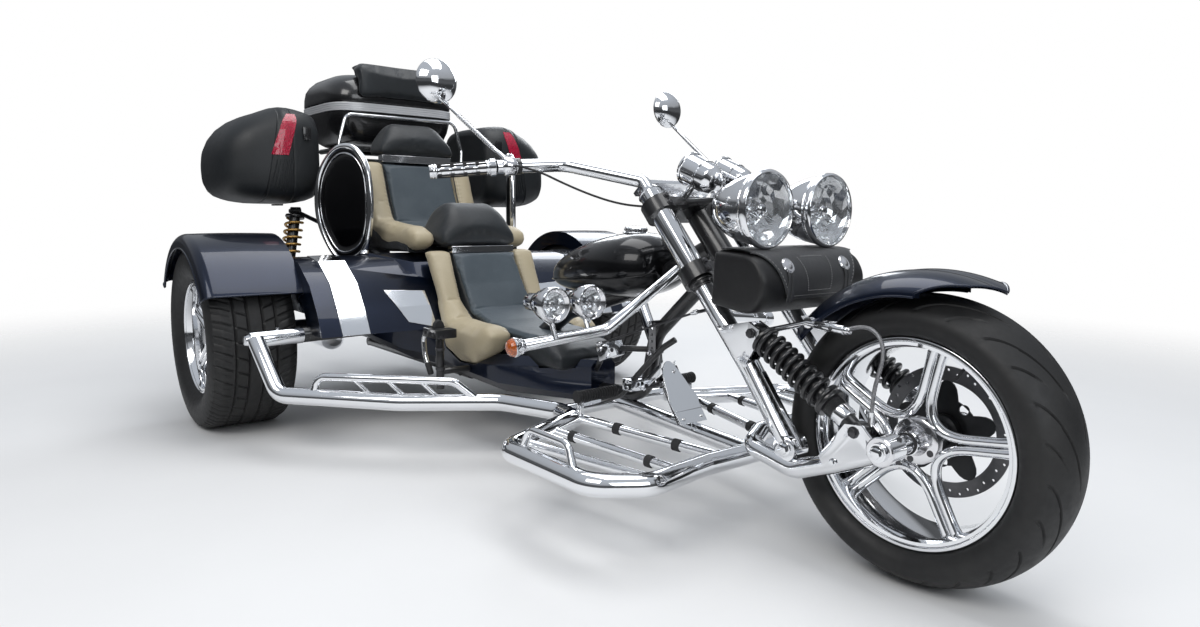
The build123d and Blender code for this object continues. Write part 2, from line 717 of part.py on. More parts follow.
def rear_fender(side):
    """Wide arch over a rear wheel, turned down outside and closed by a wall inside."""
    r_in = REAR_R + FENDER_GAP
    r_out = r_in + FENDER_T
    y_out, y_in = REAR_FENDER_OUT, REAR_FENDER_IN
    outline = [
        Line((r_in - 46, y_out - FENDER_T), (r_in - 46, y_out)),
        Line((r_in - 46, y_out), (r_out - 34, y_out)),
        ThreePointArc((r_out - 34, y_out), (r_out - 10, y_out - 10), (r_out, y_out - 34)),
        Line((r_out, y_out - 34), (r_out, y_in)),
        Line((r_out, y_in), (r_in - 60, y_in)),
        Line((r_in - 60, y_in), (r_in - 60, y_in + FENDER_T)),
        Line((r_in - 60, y_in + FENDER_T), (r_in, y_in + FENDER_T)),
        Line((r_in, y_in + FENDER_T), (r_in, y_out - 34)),
        ThreePointArc(
            (r_in, y_out - 34), (r_out - 10 - FENDER_T * 0.7, y_out - 10 - FENDER_T * 0.7),
            (r_out - 34, y_out - FENDER_T),
        ),
        Line((r_out - 34, y_out - FENDER_T), (r_in - 46, y_out - FENDER_T)),
    ]
    face = wheel_plane(REAR_X, 0, REAR_R) * make_face(outline)
    axis = Axis((REAR_X, 0, REAR_R), (0, 1, 0))
    arch = revolve(face.rotate(axis, 62), axis, -122)
    return arch if side == LEFT else mirrored(arch)


TANK_STATIONS = (
    # station, half width, underside, top, chamfer
    (-1310, 60, 560, 640, 26),
    (-1180, 120, 545, 700, 44),
    (-1000, 150, 545, 742, 56),
    (-890, 145, 560, 748, 56),
    (-812, 80, 600, 700, 34),
)


def fuel_tank(cut):
    """Teardrop tank over the backbone."""
    tank = loft([section_face(*row) for row in TANK_STATIONS])
    return less(tank, cut)


# Seats

RIDER_PANEL = [(-1872, 648), (-1800, 520), (-1730, 425), (-1600, 385)]
PASSENGER_PANEL = [(-2440, 1012), (-2380, 850), (-2330, 740), (-2150, 700)]
RIDER_PANEL_HALF = 140
PASSENGER_PANEL_HALF = 165
RIDER_BOLSTER = [
    (-1930, 655), (-1868, 655), (-1780, 472), (-1700, 424), (-1560, 410), (-1460, 402), (-1426, 376),
    (-1468, 320), (-1554, 266), (-1654, 262), (-1760, 300), (-1850, 500),
]
PASSENGER_BOLSTER = [
    (-2520, 1010), (-2425, 1016), (-2350, 850), (-2305, 778), (-2130, 752), (-2010, 738), (-1950, 712),
    (-1937, 685), (-1962, 660), (-2060, 648), (-2330, 655), (-2440, 760),
]
RIDER_BOLSTER_OUT = 235
PASSENGER_BOLSTER_OUT = 250
BOLSTER_GAP = 0.4
PANEL_T = 16


def lay(run, thickness):
    """Outline of a layer of even thickness that lies on a run of points, as a side view."""
    outer = []
    for i, (x, z) in enumerate(run):
        before = run[max(i - 1, 0)]
        after = run[min(i + 1, len(run) - 1)]
        dx, dz = after[0] - before[0], after[1] - before[1]
        n = hypot(dx, dz)
        outer.append((x - dz / n * thickness, z + dx / n * thickness))
    return run + outer[::-1]


def seat_panels(cut):
    """Centre panels of both seats, from the chrome strip down to the front of the cushion."""
    rider_run = RIDER_PANEL + [(-1420, 372), (-1260, 366)]
    rider = slab(lay(rider_run, PANEL_T), -RIDER_PANEL_HALF, RIDER_PANEL_HALF)
    passenger = slab(lay(PASSENGER_PANEL, PANEL_T), -PASSENGER_PANEL_HALF, PASSENGER_PANEL_HALF)
    return [less(panel, cut) for panel in (rider, passenger)]


def seat_bolsters():
    """L-shaped side bolsters: up the back and forward beside the cushion."""
    rider = slab(RIDER_BOLSTER, -RIDER_BOLSTER_OUT, -RIDER_PANEL_HALF - BOLSTER_GAP)
    passenger = slab(PASSENGER_BOLSTER, -PASSENGER_BOLSTER_OUT, -PASSENGER_PANEL_HALF - BOLSTER_GAP)
    return [rider, mirrored(rider), passenger, mirrored(passenger)]


def rider_seat(cut):
    """Black bucket cushion that runs forward to the bow."""
    core = slab(
        [(-1990, 640), (-1925, 640), (-1862, 640), (-1800, 520), (-1730, 425), (-1600, 385), (-1420, 372),
         (-1240, 366), (-1160, 340), (-1160, 300), (-1560, 262), (-1800, 300), (-1990, 420)],
        -139, 139,
    )
    return less(core, cut)


def passenger_seat(cut):
    """Black shell and cushion of the raised rear seat."""
    shell = slab(
        [(-2610, 1030), (-2445, 1018), (-2384, 850), (-2334, 738), (-2180, 698), (-2012, 686), (-1995, 642),
         (-2500, 642), (-2560, 800)],
        -262, 262,
    )
    return less(shell, cut)


def headrests(cut):
    """Lumbar cushion of the rider and head cushion of the passenger."""
    rider = slab(
        [(-2130, 700), (-2050, 830), (-1990, 842), (-1925, 812), (-1880, 735), (-1875, 672), (-2110, 672)],
        -165, 165,
    )
    passenger = slab(
        [(-2545, 1046), (-2555, 1140), (-2530, 1188), (-2470, 1184), (-2415, 1120), (-2405, 1046)],
        -175, 175,
    )
    return [less(rounded(shape, 18), cut) for shape in (rider, passenger)]


def seat_trim():
    """Chrome strips at the top of each centre panel."""
    return [
        block((-1900, -1862), (-139, 139), (646, 671.6)),
        block((-2470, -2424), (-164, 164), (1014, 1045.6)),
    ]


# Cases


def plan_section(x, y, z, corner):
    """Rounded rectangle in plan at a height."""
    face = RectangleRounded(x[1] - x[0], y[1] - y[0], corner)
    return Plane(origin=((x[0] + x[1]) / 2, (y[0] + y[1]) / 2, z)) * face


def top_case_plan(z, inset, corner=120):
    half = TOP_CASE_W / 2 - inset
    return plan_section((-REAR_END + inset, TOP_CASE_FRONT - inset), (-half, half), z, corner - inset)


def top_case_base():
    """Lower half of the top case, open at the top, with feet on the rack."""
    split = TOP_CASE_SPLIT - BAND_H
    w = CASE_WALL
    floor, knee = TOP_CASE_FLOOR, TOP_CASE_FLOOR + TOP_TAPER_H
    outer = loft([top_case_plan(floor, 46), top_case_plan(knee, 8)], ruled=True)
    outer += extrude(top_case_plan(knee, 8), TOP_CASE_SPLIT - knee)
    inner = loft([top_case_plan(floor + w, 46 + w), top_case_plan(knee, 8 + w)], ruled=True)
    inner += extrude(top_case_plan(knee, 8 + w), TOP_CASE_SPLIT - floor)
    base = outer - inner - top_case_band_ring()
    for side in SIDES:
        y = (150, 180) if side == LEFT else (-180, -150)
        base += rod((TOP_HINGE_X, y[0], TOP_HINGE_Z), (TOP_HINGE_X, y[1], TOP_HINGE_Z), TOP_HINGE_R)
        base += block((TOP_CASE_FRONT - 10, TOP_HINGE_X), y, (TOP_CASE_SPLIT - 3.4, TOP_CASE_SPLIT))
    return base


def top_case_band_ring():
    z = TOP_CASE_SPLIT - BAND_H
    ring = extrude(top_case_plan(z, 0), BAND_H - 4) - extrude(top_case_plan(z - 1, 8), BAND_H + 2)
    return ring


def top_case_band():
    """Bright band with three grooves round the joint of the top case."""
    ring = top_case_band_ring()
    for i in range(3):
        z = TOP_CASE_SPLIT - BAND_H + 7 + i * 9
        ring -= extrude(top_case_plan(z, -1), 3) - extrude(top_case_plan(z - 1, 2), 5)
    return ring


def top_case_lid():
    """Domed lid, hollow, hinged along its front edge."""
    z = TOP_CASE_SPLIT + LID_GAP
    w = CASE_WALL
    top = TOP_CASE_TOP
    knee = z + TOP_RIM_H
    outer = extrude(top_case_plan(z, 4), TOP_RIM_H)
    outer += loft([top_case_plan(knee, 4), top_case_plan(top, 70)], ruled=True)
    inner = extrude(top_case_plan(z - 1, 4 + w), TOP_RIM_H + 1)
    inner += loft([top_case_plan(knee, 4 + w), top_case_plan(top - w, 70 + w)], ruled=True)
    lid = outer - inner
    for side in SIDES:
        y = (118, 149) if side == LEFT else (-149, -118)
        lid += rod((TOP_HINGE_X, y[0], TOP_HINGE_Z), (TOP_HINGE_X, y[1], TOP_HINGE_Z), TOP_HINGE_R)
        lid += block((TOP_CASE_FRONT - 7, TOP_HINGE_X), y, (TOP_HINGE_Z - 2, TOP_HINGE_Z + 2))
    return lid


def top_case_pad(lid):
    """Padded back support on the front of the lid."""
    x = TOP_CASE_FRONT
    pad = block((x - 120, x + 24), (-210, 210), (TOP_CASE_SPLIT + 12, TOP_CASE_TOP + 15), 20)
    solid_lid = lid + extrude(top_case_plan(TOP_CASE_SPLIT + 6, 12), 100)
    solid_lid += loft([top_case_plan(TOP_CASE_SPLIT + 50, 4), top_case_plan(TOP_CASE_TOP, 70)], ruled=True)
    return (pad - solid_lid).solids().sort_by(SortBy.VOLUME)[-1]


def side_plan(y, inset, corner):
    """Rounded outline of a side case in the side view, at a distance from the centre plane."""
    face = RectangleRounded(SIDE_CASE_L - 2 * inset, SIDE_CASE_H - 2 * inset, corner)
    plane = Plane(origin=(SIDE_CASE_X, y, SIDE_CASE_Z), x_dir=(1, 0, 0), z_dir=(0, -1, 0))
    return plane * face


def side_case_base():
    """Inner half of a right-hand side case."""
    w = CASE_WALL
    outer = loft([side_plan(-SIDE_CASE_IN, 30, 90), side_plan(-SIDE_CASE_SPLIT, 4, 120)], ruled=True)
    inner = loft(
        [side_plan(-SIDE_CASE_IN - w, 30 + w, 85), side_plan(-SIDE_CASE_SPLIT - 0.01, 4 + w, 115)],
        ruled=True,
    )
    base = outer - inner
    for x in ((SIDE_CASE_X - 72, SIDE_CASE_X - 39), (SIDE_CASE_X + 39, SIDE_CASE_X + 72)):
        base += rod(
            (x[0], -SIDE_CASE_SPLIT, SIDE_HINGE_Z), (x[1], -SIDE_CASE_SPLIT, SIDE_HINGE_Z), SIDE_HINGE_R,
        )
        base += block(
            x, (3 - SIDE_CASE_SPLIT, 14 - SIDE_CASE_SPLIT), (SIDE_HINGE_Z - 2, SIDE_HINGE_Z + 12),
        )
    return base


def side_case_lid():
    """Domed outer half of a right-hand side case, hollow."""
    w = CASE_WALL
    y0 = -SIDE_CASE_SPLIT - LID_GAP
    stations = ((y0, 0, 124), (y0 - 90, 2, 124), (y0 - 220, 44, 100), (-SIDE_CASE_OUT, 100, 60))
    outer = loft([side_plan(y, inset, c) for y, inset, c in stations], ruled=True)
    inner_stations = (
        (y0 + 0.01, w, 119), (y0 - 90, 2 + w, 119), (y0 - 220 + 2, 44 + w, 95),
        (-SIDE_CASE_OUT + w, 100 + w, 55),
    )
    inner = loft([side_plan(y, inset, c) for y, inset, c in inner_stations], ruled=True)
    lid = outer - inner
    x = (SIDE_CASE_X - 38, SIDE_CASE_X + 38)
    lid += rod((x[0], -SIDE_CASE_SPLIT, SIDE_HINGE_Z), (x[1], -SIDE_CASE_SPLIT, SIDE_HINGE_Z), SIDE_HINGE_R)
    lid += block(x, (y0 - 14, y0 - 0.5), (SIDE_HINGE_Z - 2, SIDE_HINGE_Z + 6))
    return lid


def side_case_reflector(lid):
    """Red reflector band on the front edge of the lid."""
    y0 = -SIDE_CASE_SPLIT - 22
    ring = extrude(side_plan(y0, -5, 129), 52) - extrude(side_plan(y0 + 1, 1.2, 123), 60)
    front = block(
        (SIDE_CASE_X + 110, SIDE_CASE_X + 400), (-900, -300), (SIDE_CASE_Z - 20, SIDE_CASE_Z + 160),
    )
    return (ring & front) - lid


# Tubes round the passenger and beside the feet


def loop_point(side, along, z):
    """Point of a grab loop: its plane runs outward and back from beside the seat."""
    return (LOOP_FRONT[0] - along * 0.88, side * (LOOP_FRONT[1] + along * 0.48), z)


def grab_rails(cut):
    """Chrome loops beside the passenger and a thin rail behind the head cushion."""
    made = []
    for side in SIDES:
        outline = [
            (40, 636), (0, 760), (6, 960), (70, 1052), (170, 1040), (246, 930), (250, 760), (160, 612),
        ]
        loop = tube([loop_point(side, *p) for p in outline], LOOP_R, [90, 90, 60, 50, 70, 90])
        made.append(loop)
    x, low, high = TOP_CASE_FRONT, TOP_CASE_FLOOR - 5, TOP_CASE_SPLIT - 60
    rail = tube(
        [(x + 60, -268, 985), (x + 12, -300, low), (x + 12, -262, high), (x + 12, 262, high),
         (x + 12, 300, low), (x + 60, 268, 985)],
        8, [30, 40, 40, 30],
    )
    made.append(rail)
    return [less(shape, cut) for shape in made]


def grab_panels(cut):
    """Dark oval panels inside the loops."""
    made = []
    for side in SIDES:
        outline = [
            (46, 648), (6, 762), (12, 954), (74, 1042), (166, 1030), (238, 926), (242, 764), (156, 624),
        ]
        face = make_face(Polyline(*[Vector(*loop_point(side, *p)) for p in outline], close=True))
        panel = extrude(face, 12, dir=(0.48, side * 0.88, 0), both=True)
        made.append(less(panel, cut))
    return made


def foot_rails():
    """Big side rails, the wide loops ahead of them and the tubes inside, in one welded piece."""
    z = 200
    parts = []
    for side in SIDES:
        rail = tube(
            [(-1880, side * 866, 372), (-1752, side * 838, z + 6), (-1450, side * 560, z),
             (-1262, side * 300, z), (-1046, side * 222, z), (-958, side * 236, z),
             (-812, side * 560, z), (-470, side * 560, z), (-404, side * 440, z - 6),
             (-460, side * 205, z - 20), (-478, 0, z - 30)],
            RAIL_R, [60, 90, 90, 60, 36, 60, 70, 80, 90],
        )
        parts.append(rail)
        parts.append(rod((-1950, side * 420, 372), (-1890, side * 880, 372), 26))
        parts.append(rod((-1890, side * 880, 372), (-1886, side * 900, 372), 26, 16))
        hoop = tube(
            [(-1668, side * 762, z), (-1650, side * 742, 272), (-1330, side * 430, 272),
             (-1296, side * 352, z)],
            STEP_R, [40, 40],
        )
        parts.append(hoop)
        for share in (0.25, 0.5, 0.75):
            x = -1650 + 320 * share
            y = side * (742 - 312 * share)
            parts.append(rod((x, y, 272), (x + 50, y - side * 60, z), 7))
        front_hoop = tube(
            [(-760, side * 556, z), (-726, side * 548, 270), (-570, side * 548, 270),
             (-530, side * 556, z)],
            STEP_R - 3, [30, 30],
        )
        parts.append(front_hoop)
        parts.append(rod((-975, side * 236, z + 4), (-465, side * 120, z - 20), 14))
        parts.append(rod((-900, side * 360, z), (-455, side * 300, z - 14), 13))
        parts.append(rod((-840, side * 490, z), (-420, side * 400, z - 8), 12))
    parts.append(rod((-1120, 0, z + 10), (-470, 0, z - 30), 24))
    parts.append(rod((-1046, -222, z), (-1046, 222, z), 20))
    return union(parts)


def foot_pegs(cut):
    """Ribbed rubber pegs on short stalks."""
    made = []
    for side in SIDES:
        stalk = rod((-940, side * 226, 204), (-940, side * 226, 268), 10)
        peg = rod((-940, side * 96, 268), (-940, side * 242, 268), 17)
        made.append(union([stalk, peg]) - cut)
    return made


def foot_pedal(cut):
    """Broad bright pedal plate that leans back over the spine, with its folded arm."""
    lean = slab([(-826, 356), (-800, 372), (-690, 206), (-716, 196)], -52, 52)
    arm = slab([(-880, 300), (-800, 372), (-812, 330), (-880, 268)], -30, 30)
    return less(union([lean, arm]), cut)


def hand_brake(cut):
    """Parking lever and its box beside the seat, on a bracket of the rail."""
    box = block((-1640, -1540), (-380, -300), (372, 404), 4)
    post = rod((-1590, -340, 190), (-1590, -340, 380), 14)
    knob = rod((-1598, -345, 414), (-1582, -345, 414), 20)
    lever = tube(
        [(-1632, -350, 388), (-1690, -352, 372), (-1680, -352, 300), (-1640, -350, 235)], 9, [30, 40],
    )
    bracket = rod((-1590, -345, 250), (-1590, -200, 250), 11)
    return less(union([box, post, knob, lever, bracket]), cut)


# Lights


def light_bar_points(side):
    return [(-750, side * 12, 652), (-796, side * 250, 486), (-852, side * 488, 456)]


def light_bars(cut):
    """Bent bars that reach out from under the tank to carry driving lamps and indicators."""
    made = []
    for side in SIDES:
        bar = tube(light_bar_points(side), LIGHT_BAR_R, [60])
        posts = [
            rod((-815, side * y, 470), (-840, side * y, 520), 7) for y in (290, 405)
        ]
        made.append(less(union([bar] + posts), cut))
    return made


def driving_lamps(cut):
    """Four small chromed lamps with stepped rear housings."""
    made = []
    for side in SIDES:
        for y in (275, 400):
            face = Vector(-822, side * y, 560)
            back = Vector(-1, 0, 0.0)
            bezel = rod(face, face + back * 16, DRIVING_LAMP_R)
            cup = rod(face + back * 16, face + back * 62, DRIVING_LAMP_R - 6, DRIVING_LAMP_R - 12)
            tail = rod(face + back * 62, face + back * 128, 25)
            made.append(less(union([bezel, cup, tail]), cut))
    return made


def indicators(cut):
    """Amber bullet lamps on the ends of the light bars."""
    made = []
    for side in SIDES:
        end = Vector(*light_bar_points(side)[-1])
        out = Vector(-0.2, side, -0.1).normalized()
        base = rod(end, end + out * 22, LIGHT_BAR_R + 2, 25)
        dome = rod(end + out * 22, end + out * 44, 25, 12)
        made.append(less(union([base, dome]), cut))
    return made


def tail_lamps():
    """Round red lamps on the rear ends of the mudguards."""
    made = []
    for side in SIDES:
        for y in (770, 890):
            made.append(rod((-2672, side * y, 500), (-2700, side * y, 500), 38, 34))
    return made


def lamp_rails(cut):
    """Brackets behind the wheels that carry the tail lamps."""
    made = []
    for side in SIDES:
        near, far = (640, 950) if side == LEFT else (-950, -640)
        foot = block((-2665, -2602), (near, far), (508, 518))
        made.append(less(block((-2672, -2662), (near, far), (450, 548)) + foot, cut))
    return made


# Drive and rear end


def engine_block(cut):
    """Rear engine and gearbox as one closed mass with its finned sides and a pulley cover."""
    core = block((ENGINE_REAR, -2420), (-ENGINE_HALF, ENGINE_HALF), (235, 425), 12)
    head = block((-2830, -2560), (-ENGINE_HALF - 120, -ENGINE_HALF), (270, 400), 10)
    fan = rod((ENGINE_REAR, 0, 360), (ENGINE_REAR - 50, 0, 360), 90)
    return less(union([core, fan, head, mirrored(head)]), cut)


def rear_axle(cut):
    """Axle tubes with a differential case, hub flanges and stub shafts."""
    parts = [rod((REAR_X, -640, REAR_R), (REAR_X, 640, REAR_R), 38), ball((REAR_X, 0, REAR_R), 105)]
    for side in SIDES:
        parts.append(rod((REAR_X, side * 640, REAR_R), (REAR_X, side * (REAR_Y - 100), REAR_R), 60))
        parts.append(rod((REAR_X, side * 640, REAR_R), (REAR_X, side * (REAR_Y + 92), REAR_R), STUB_R))
        eye_x, eye_y, eye_z = REAR_SHOCK_EYE
        parts.append(rod((REAR_X, side * eye_y, REAR_R), (eye_x, side * eye_y, eye_z - 22), 24, 16))
    return less(union(parts), cut)


def rear_shocks(cut):
    """Sprung struts between the axle and the frame, behind the seat."""
    made = []
    for side in SIDES:
        top = Vector(REAR_SHOCK_TOP[0], side * REAR_SHOCK_TOP[1], REAR_SHOCK_TOP[2])
        eye = Vector(REAR_SHOCK_EYE[0], side * REAR_SHOCK_EYE[1], REAR_SHOCK_EYE[2])
        length = (eye - top).length
        place = Plane(origin=top, x_dir=(0, 1, 0), z_dir=eye - top)
        turns = 8
        pitch = (length - 190) / turns
        points = [(0, 8), (16, 8), (38, 26)]
        for i in range(turns):
            z = 30 + i * pitch
            points += [(40, z + pitch * 0.2), (40, z + pitch * 0.5), (31, z + pitch * 0.85)]
        points += [
            (40, length - 158), (40, length - 150), (22, length - 144), (22, length - 10), (0, length - 10),
        ]
        section = place * (Plane.XZ * make_face(Polyline(*points, close=True)))
        body = revolve(section, Axis(top, eye - top))
        for centre in (top, eye):
            body += rod(centre - Vector(0, 20, 0), centre + Vector(0, 20, 0), 18)
        made.append(less(body, cut))
    return made


def exhausts(cut):
    """Two mufflers under the tail."""
    made = []
    for side in SIDES:
        y = side * 300
        start = Vector(-2690, y, 222)
        place = Plane(origin=start, x_dir=(0, 1, 0), z_dir=(-1, 0, 0))
        points = [
            (0, 0), (36, 0), (54, 24), (54, 330), (36, 352), (30, 352), (30, 385), (24, 385), (24, 330),
            (0, 330),
        ]
        section = place * (Plane.XZ * make_face(Polyline(*points, close=True)))
        made.append(less(revolve(section, Axis(start, (-1, 0, 0))), cut))
    return made


def rear_rack(cut):
    """Black bracket work that carries the three cases and the number plate."""
    seat_z = TOP_CASE_FLOOR - RACK_R
    x = RACK_X
    parts = []
    for side in SIDES:
        y = side * RACK_HALF
        parts.append(tube(
            [(x, y, 580), (x, y, 1010), (x - 90, y, seat_z), (100 - REAR_END, y, seat_z)], RACK_R, [80, 60],
        ))
        parts.append(rod((x, y, 900), (x, side * SIDE_CASE_IN, 900), 10))
        top_x, top_y, top_z = REAR_SHOCK_TOP
        parts.append(rod((x, y, 690), (top_x, side * top_y, top_z), 9))
    parts.append(rod((x, -RACK_HALF, 940), (x, RACK_HALF, 940), 10))
    parts.append(rod((x - 230, -RACK_HALF, seat_z), (x - 230, RACK_HALF, seat_z), 10))
    return less(union(parts), cut)


def plate_holder(cut):
    """Bracket and blank back plate for a number plate."""
    x, low = PLATE_BACK_X, PLATE_BACK_LOW
    back = block((x - PLATE_BACK_T, x), (-PLATE_BACK_W / 2, PLATE_BACK_W / 2), (low, low + PLATE_BACK_H))
    arm = rod((PLATE_ARM_ROOT, 0, low), (x, 0, low + PLATE_BACK_H / 2 - 5), PLATE_ARM_R)
    return less(union([back, arm]), cut)


# Cords

CABLE_R = 3
CABLE = [
    (-986, -416, 929), (-962, -366, 918), (-922, -306, 884), (-880, -246, 854), (-838, -190, 832),
    (-797, -140, 822), (-753, -92, 821),
]
HOSE_R = 4.5
HOSE = [
    (-120, -140, 556), (-78, -141, 573), (-38, -141, 560), (-22, -141, 522), (-32, -139, 478),
    (-46, -135, 434), (-50, -131, 388),
]


def cord(points, radius):
    """Round cord whose bends are as wide as the runs beside them allow."""
    points = [Vector(*p) for p in points]
    bends = []
    for before, corner, after in zip(points, points[1:], points[2:]):
        into, out = corner - before, after - corner
        turn = radians(into.get_angle(out))
        bends.append(0.45 * min(into.length, out.length) / tan(turn / 2))
    print("cord radii", [round(bend) for bend in bends])
    return tube(points, radius, bends)


def hose_fittings():
    """Pipe that brings the brake hose to the fender's stay, and the gland it ends in."""
    pipe = rod((-236, -121, 558), HOSE[0], 7)
    gland = rod((-50, -131, 358), HOSE[-1], 7)
    return [pipe, gland]


def cable_glands():
    """Sleeves at the two ends of the control cable."""
    lower = rod(on_fork(-12, -68, 234), CABLE[-1], 6)
    upper = rod((-994, -432, 927), CABLE[0], 5.5)
    return [upper, lower]


def write(name, shapes):
    """Move a piece to the part's frame and write it as its own file."""
    shapes = shapes if isinstance(shapes, list) else [shapes]
    solids = [solid for shape in shapes for solid in shape.solids()]
    moved = Compound([Pos(ORIGIN_SHIFT, 0, 0) * solid for solid in solids])
    moved.label = name
    export_step(moved, f"parts/{name}.step")


def main():
    os.makedirs("parts", exist_ok=True)

    # Fork body
    link = front_link()
    legs = [less(leg, [link]) for leg in fork_legs()]
    clamps = fork_clamps(legs)
    shocks = front_shocks(legs + [link])
    fender = front_fender()
    bar = less(handlebar(), legs)
    grips = hand_grips(bar)
    mirror = mirrors(union([bar] + grips))
    upper_gland, lower_gland = cable_glands()
    pipe, gland = hose_fittings()
    hose, cable = cord(HOSE, HOSE_R), cord(CABLE, CABLE_R)
    mirror[0] = less(mirror[0] + upper_gland, [cable])
    clamps = less(clamps + lower_gland, legs + [cable])
    link = less(link + gland, shocks + [hose])
    legs[0] = less(legs[0] + pipe, [fender, hose])
    lamps = headlamps(clamps)
    pods = gauge_pods(union([bar, clamps] + legs))
    roll = tool_roll(union([clamps] + legs))
    write("fork_legs", legs)
    write("fork_clamps", clamps)
    write("front_link", link)
    write("front_shocks", shocks)
    write("front_fender", fender)
    write("brake_hose", hose)
    write("control_cable", cable)
    write("handlebar", bar)
    write("hand_grips", grips)
    write("mirrors", mirror)
    write("headlamps", lamps)
    write("headlamp_lenses", headlamp_lenses())
    write("gauge_pods", pods)
    write("tool_roll", roll)

    # Wheels
    write("front_tyre", front_tyre())
    write("front_rim", front_rim())
    write("front_disc", front_disc() - front_rim())
    for side, name in ((RIGHT, "right"), (LEFT, "left")):
        write(f"rear_tyre_{name}", rear_tyre(side))
        write(f"rear_rim_{name}", rear_rim(side))

    # Seats and body
    trim = seat_trim()
    panels = seat_panels(trim)
    bolsters = [less(bolster, panels) for bolster in seat_bolsters()]
    rests = headrests(trim)
    rider = rider_seat(panels + bolsters + rests + trim)
    passenger = passenger_seat(panels + bolsters + rests + trim)
    seats = panels + bolsters + trim + rests + [rider, passenger]
    rails = foot_rails()
    axle = rear_axle([])
    tub = body_tub(seats + [axle, rails])
    tank = fuel_tank([])
    plates = polished_plates(tub)
    write("seat_panels", panels)
    write("seat_bolsters", bolsters)
    write("seat_trim", trim)
    write("headrests", rests)
    write("rider_seat", rider)
    write("passenger_seat", passenger)
    write("body_tub", tub)
    write("polished_plates", plates)
    write("fuel_tank", tank)
    fenders = [rear_fender(side) - tub for side in SIDES]
    write("rear_fenders", fenders)

    # Cases
    base, lid = top_case_base(), top_case_lid()
    write("top_case_base", base)
    write("top_case_band", top_case_band())
    write("top_case_lid", lid)
    write("top_case_pad", top_case_pad(lid))
    side_base, side_lid = side_case_base(), side_case_lid()
    reflector = side_case_reflector(side_lid)
    write("side_case_bases", both(side_base))
    write("side_case_lid_right", side_lid)
    write("side_case_lid_left", mirrored(side_lid))
    write("side_case_reflector_right", reflector)
    write("side_case_reflector_left", mirrored(reflector))

    # Chassis
    frame = frame_tubes([tub, tank, rider, rails, axle] + seats)
    bars = light_bars([frame, tank])
    lights = driving_lamps(bars)
    rack = rear_rack([tub, base, side_base, mirrored(side_base), passenger])
    struts = rear_shocks([rack, axle, tub, side_base, mirrored(side_base)] + fenders)
    engine = engine_block([frame, tub, axle])
    brackets = lamp_rails(fenders + [tub])
    write("frame_tubes", frame)
    write("foot_rails", rails)
    write("foot_pegs", foot_pegs(rails))
    write("foot_pedal", foot_pedal([rails, frame]))
    write("hand_brake", hand_brake([rails, tub] + bolsters))
    grabs = grab_rails([tub, passenger, side_base, mirrored(side_base)] + rests + bolsters)
    write("grab_rails", grabs)
    write("grab_panels", grab_panels([tub] + grabs))
    write("light_bars", bars)
    write("driving_lamps", lights)
    write("indicators", indicators(bars))
    write("tail_lamps", tail_lamps())
    write("lamp_brackets", brackets)
    write("engine_block", engine)
    write("rear_axle", axle)
    write("rear_shocks", struts)
    write("exhausts", exhausts([engine]))
    write("rear_rack", rack)
    write("plate_holder", plate_holder([tub, engine]))


if __name__ == "__main__":
    main()
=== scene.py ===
import bmesh
import bpy
import json
from itertools import accumulate
from math import atan2, cos, degrees, hypot, pi, radians, sin, sqrt, tan
from mathutils import Matrix, Vector
from mathutils.bvhtree import BVHTree

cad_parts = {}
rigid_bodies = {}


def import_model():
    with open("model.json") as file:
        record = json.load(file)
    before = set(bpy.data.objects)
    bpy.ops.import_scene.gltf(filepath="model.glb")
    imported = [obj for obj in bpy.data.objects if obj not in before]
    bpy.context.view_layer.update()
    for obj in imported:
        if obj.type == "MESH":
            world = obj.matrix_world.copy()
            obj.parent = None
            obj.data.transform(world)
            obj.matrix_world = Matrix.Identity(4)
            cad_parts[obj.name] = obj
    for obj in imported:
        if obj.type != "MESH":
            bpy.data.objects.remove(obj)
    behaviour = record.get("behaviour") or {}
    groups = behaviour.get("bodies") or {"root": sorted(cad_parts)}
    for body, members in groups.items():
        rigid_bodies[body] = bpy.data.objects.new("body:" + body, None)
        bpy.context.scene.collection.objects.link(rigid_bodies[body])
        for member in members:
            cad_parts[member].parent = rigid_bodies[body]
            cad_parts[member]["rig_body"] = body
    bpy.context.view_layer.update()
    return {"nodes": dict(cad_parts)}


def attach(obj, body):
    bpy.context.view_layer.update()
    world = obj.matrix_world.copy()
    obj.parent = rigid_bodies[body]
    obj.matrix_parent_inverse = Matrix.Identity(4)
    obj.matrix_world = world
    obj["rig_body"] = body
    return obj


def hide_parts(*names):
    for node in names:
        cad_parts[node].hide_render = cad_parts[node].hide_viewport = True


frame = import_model()
scene = bpy.context.scene

# Stations are millimetres from the front axle, as in the part's source: +X forward, +Y left, z from the ground
SHIFT = 1390
SIDES = (-1, 1)
NAMED_SIDES = ((-1, "right"), (1, "left"))
AHEAD, LEFT, UP = Vector((1, 0, 0)), Vector((0, 1, 0)), Vector((0, 0, 1))


def at(x, y, z):
    """Point in the frame, in metres, from a station in millimetres."""
    return Vector(((x + SHIFT) / 1000, y / 1000, z / 1000))


# Materials


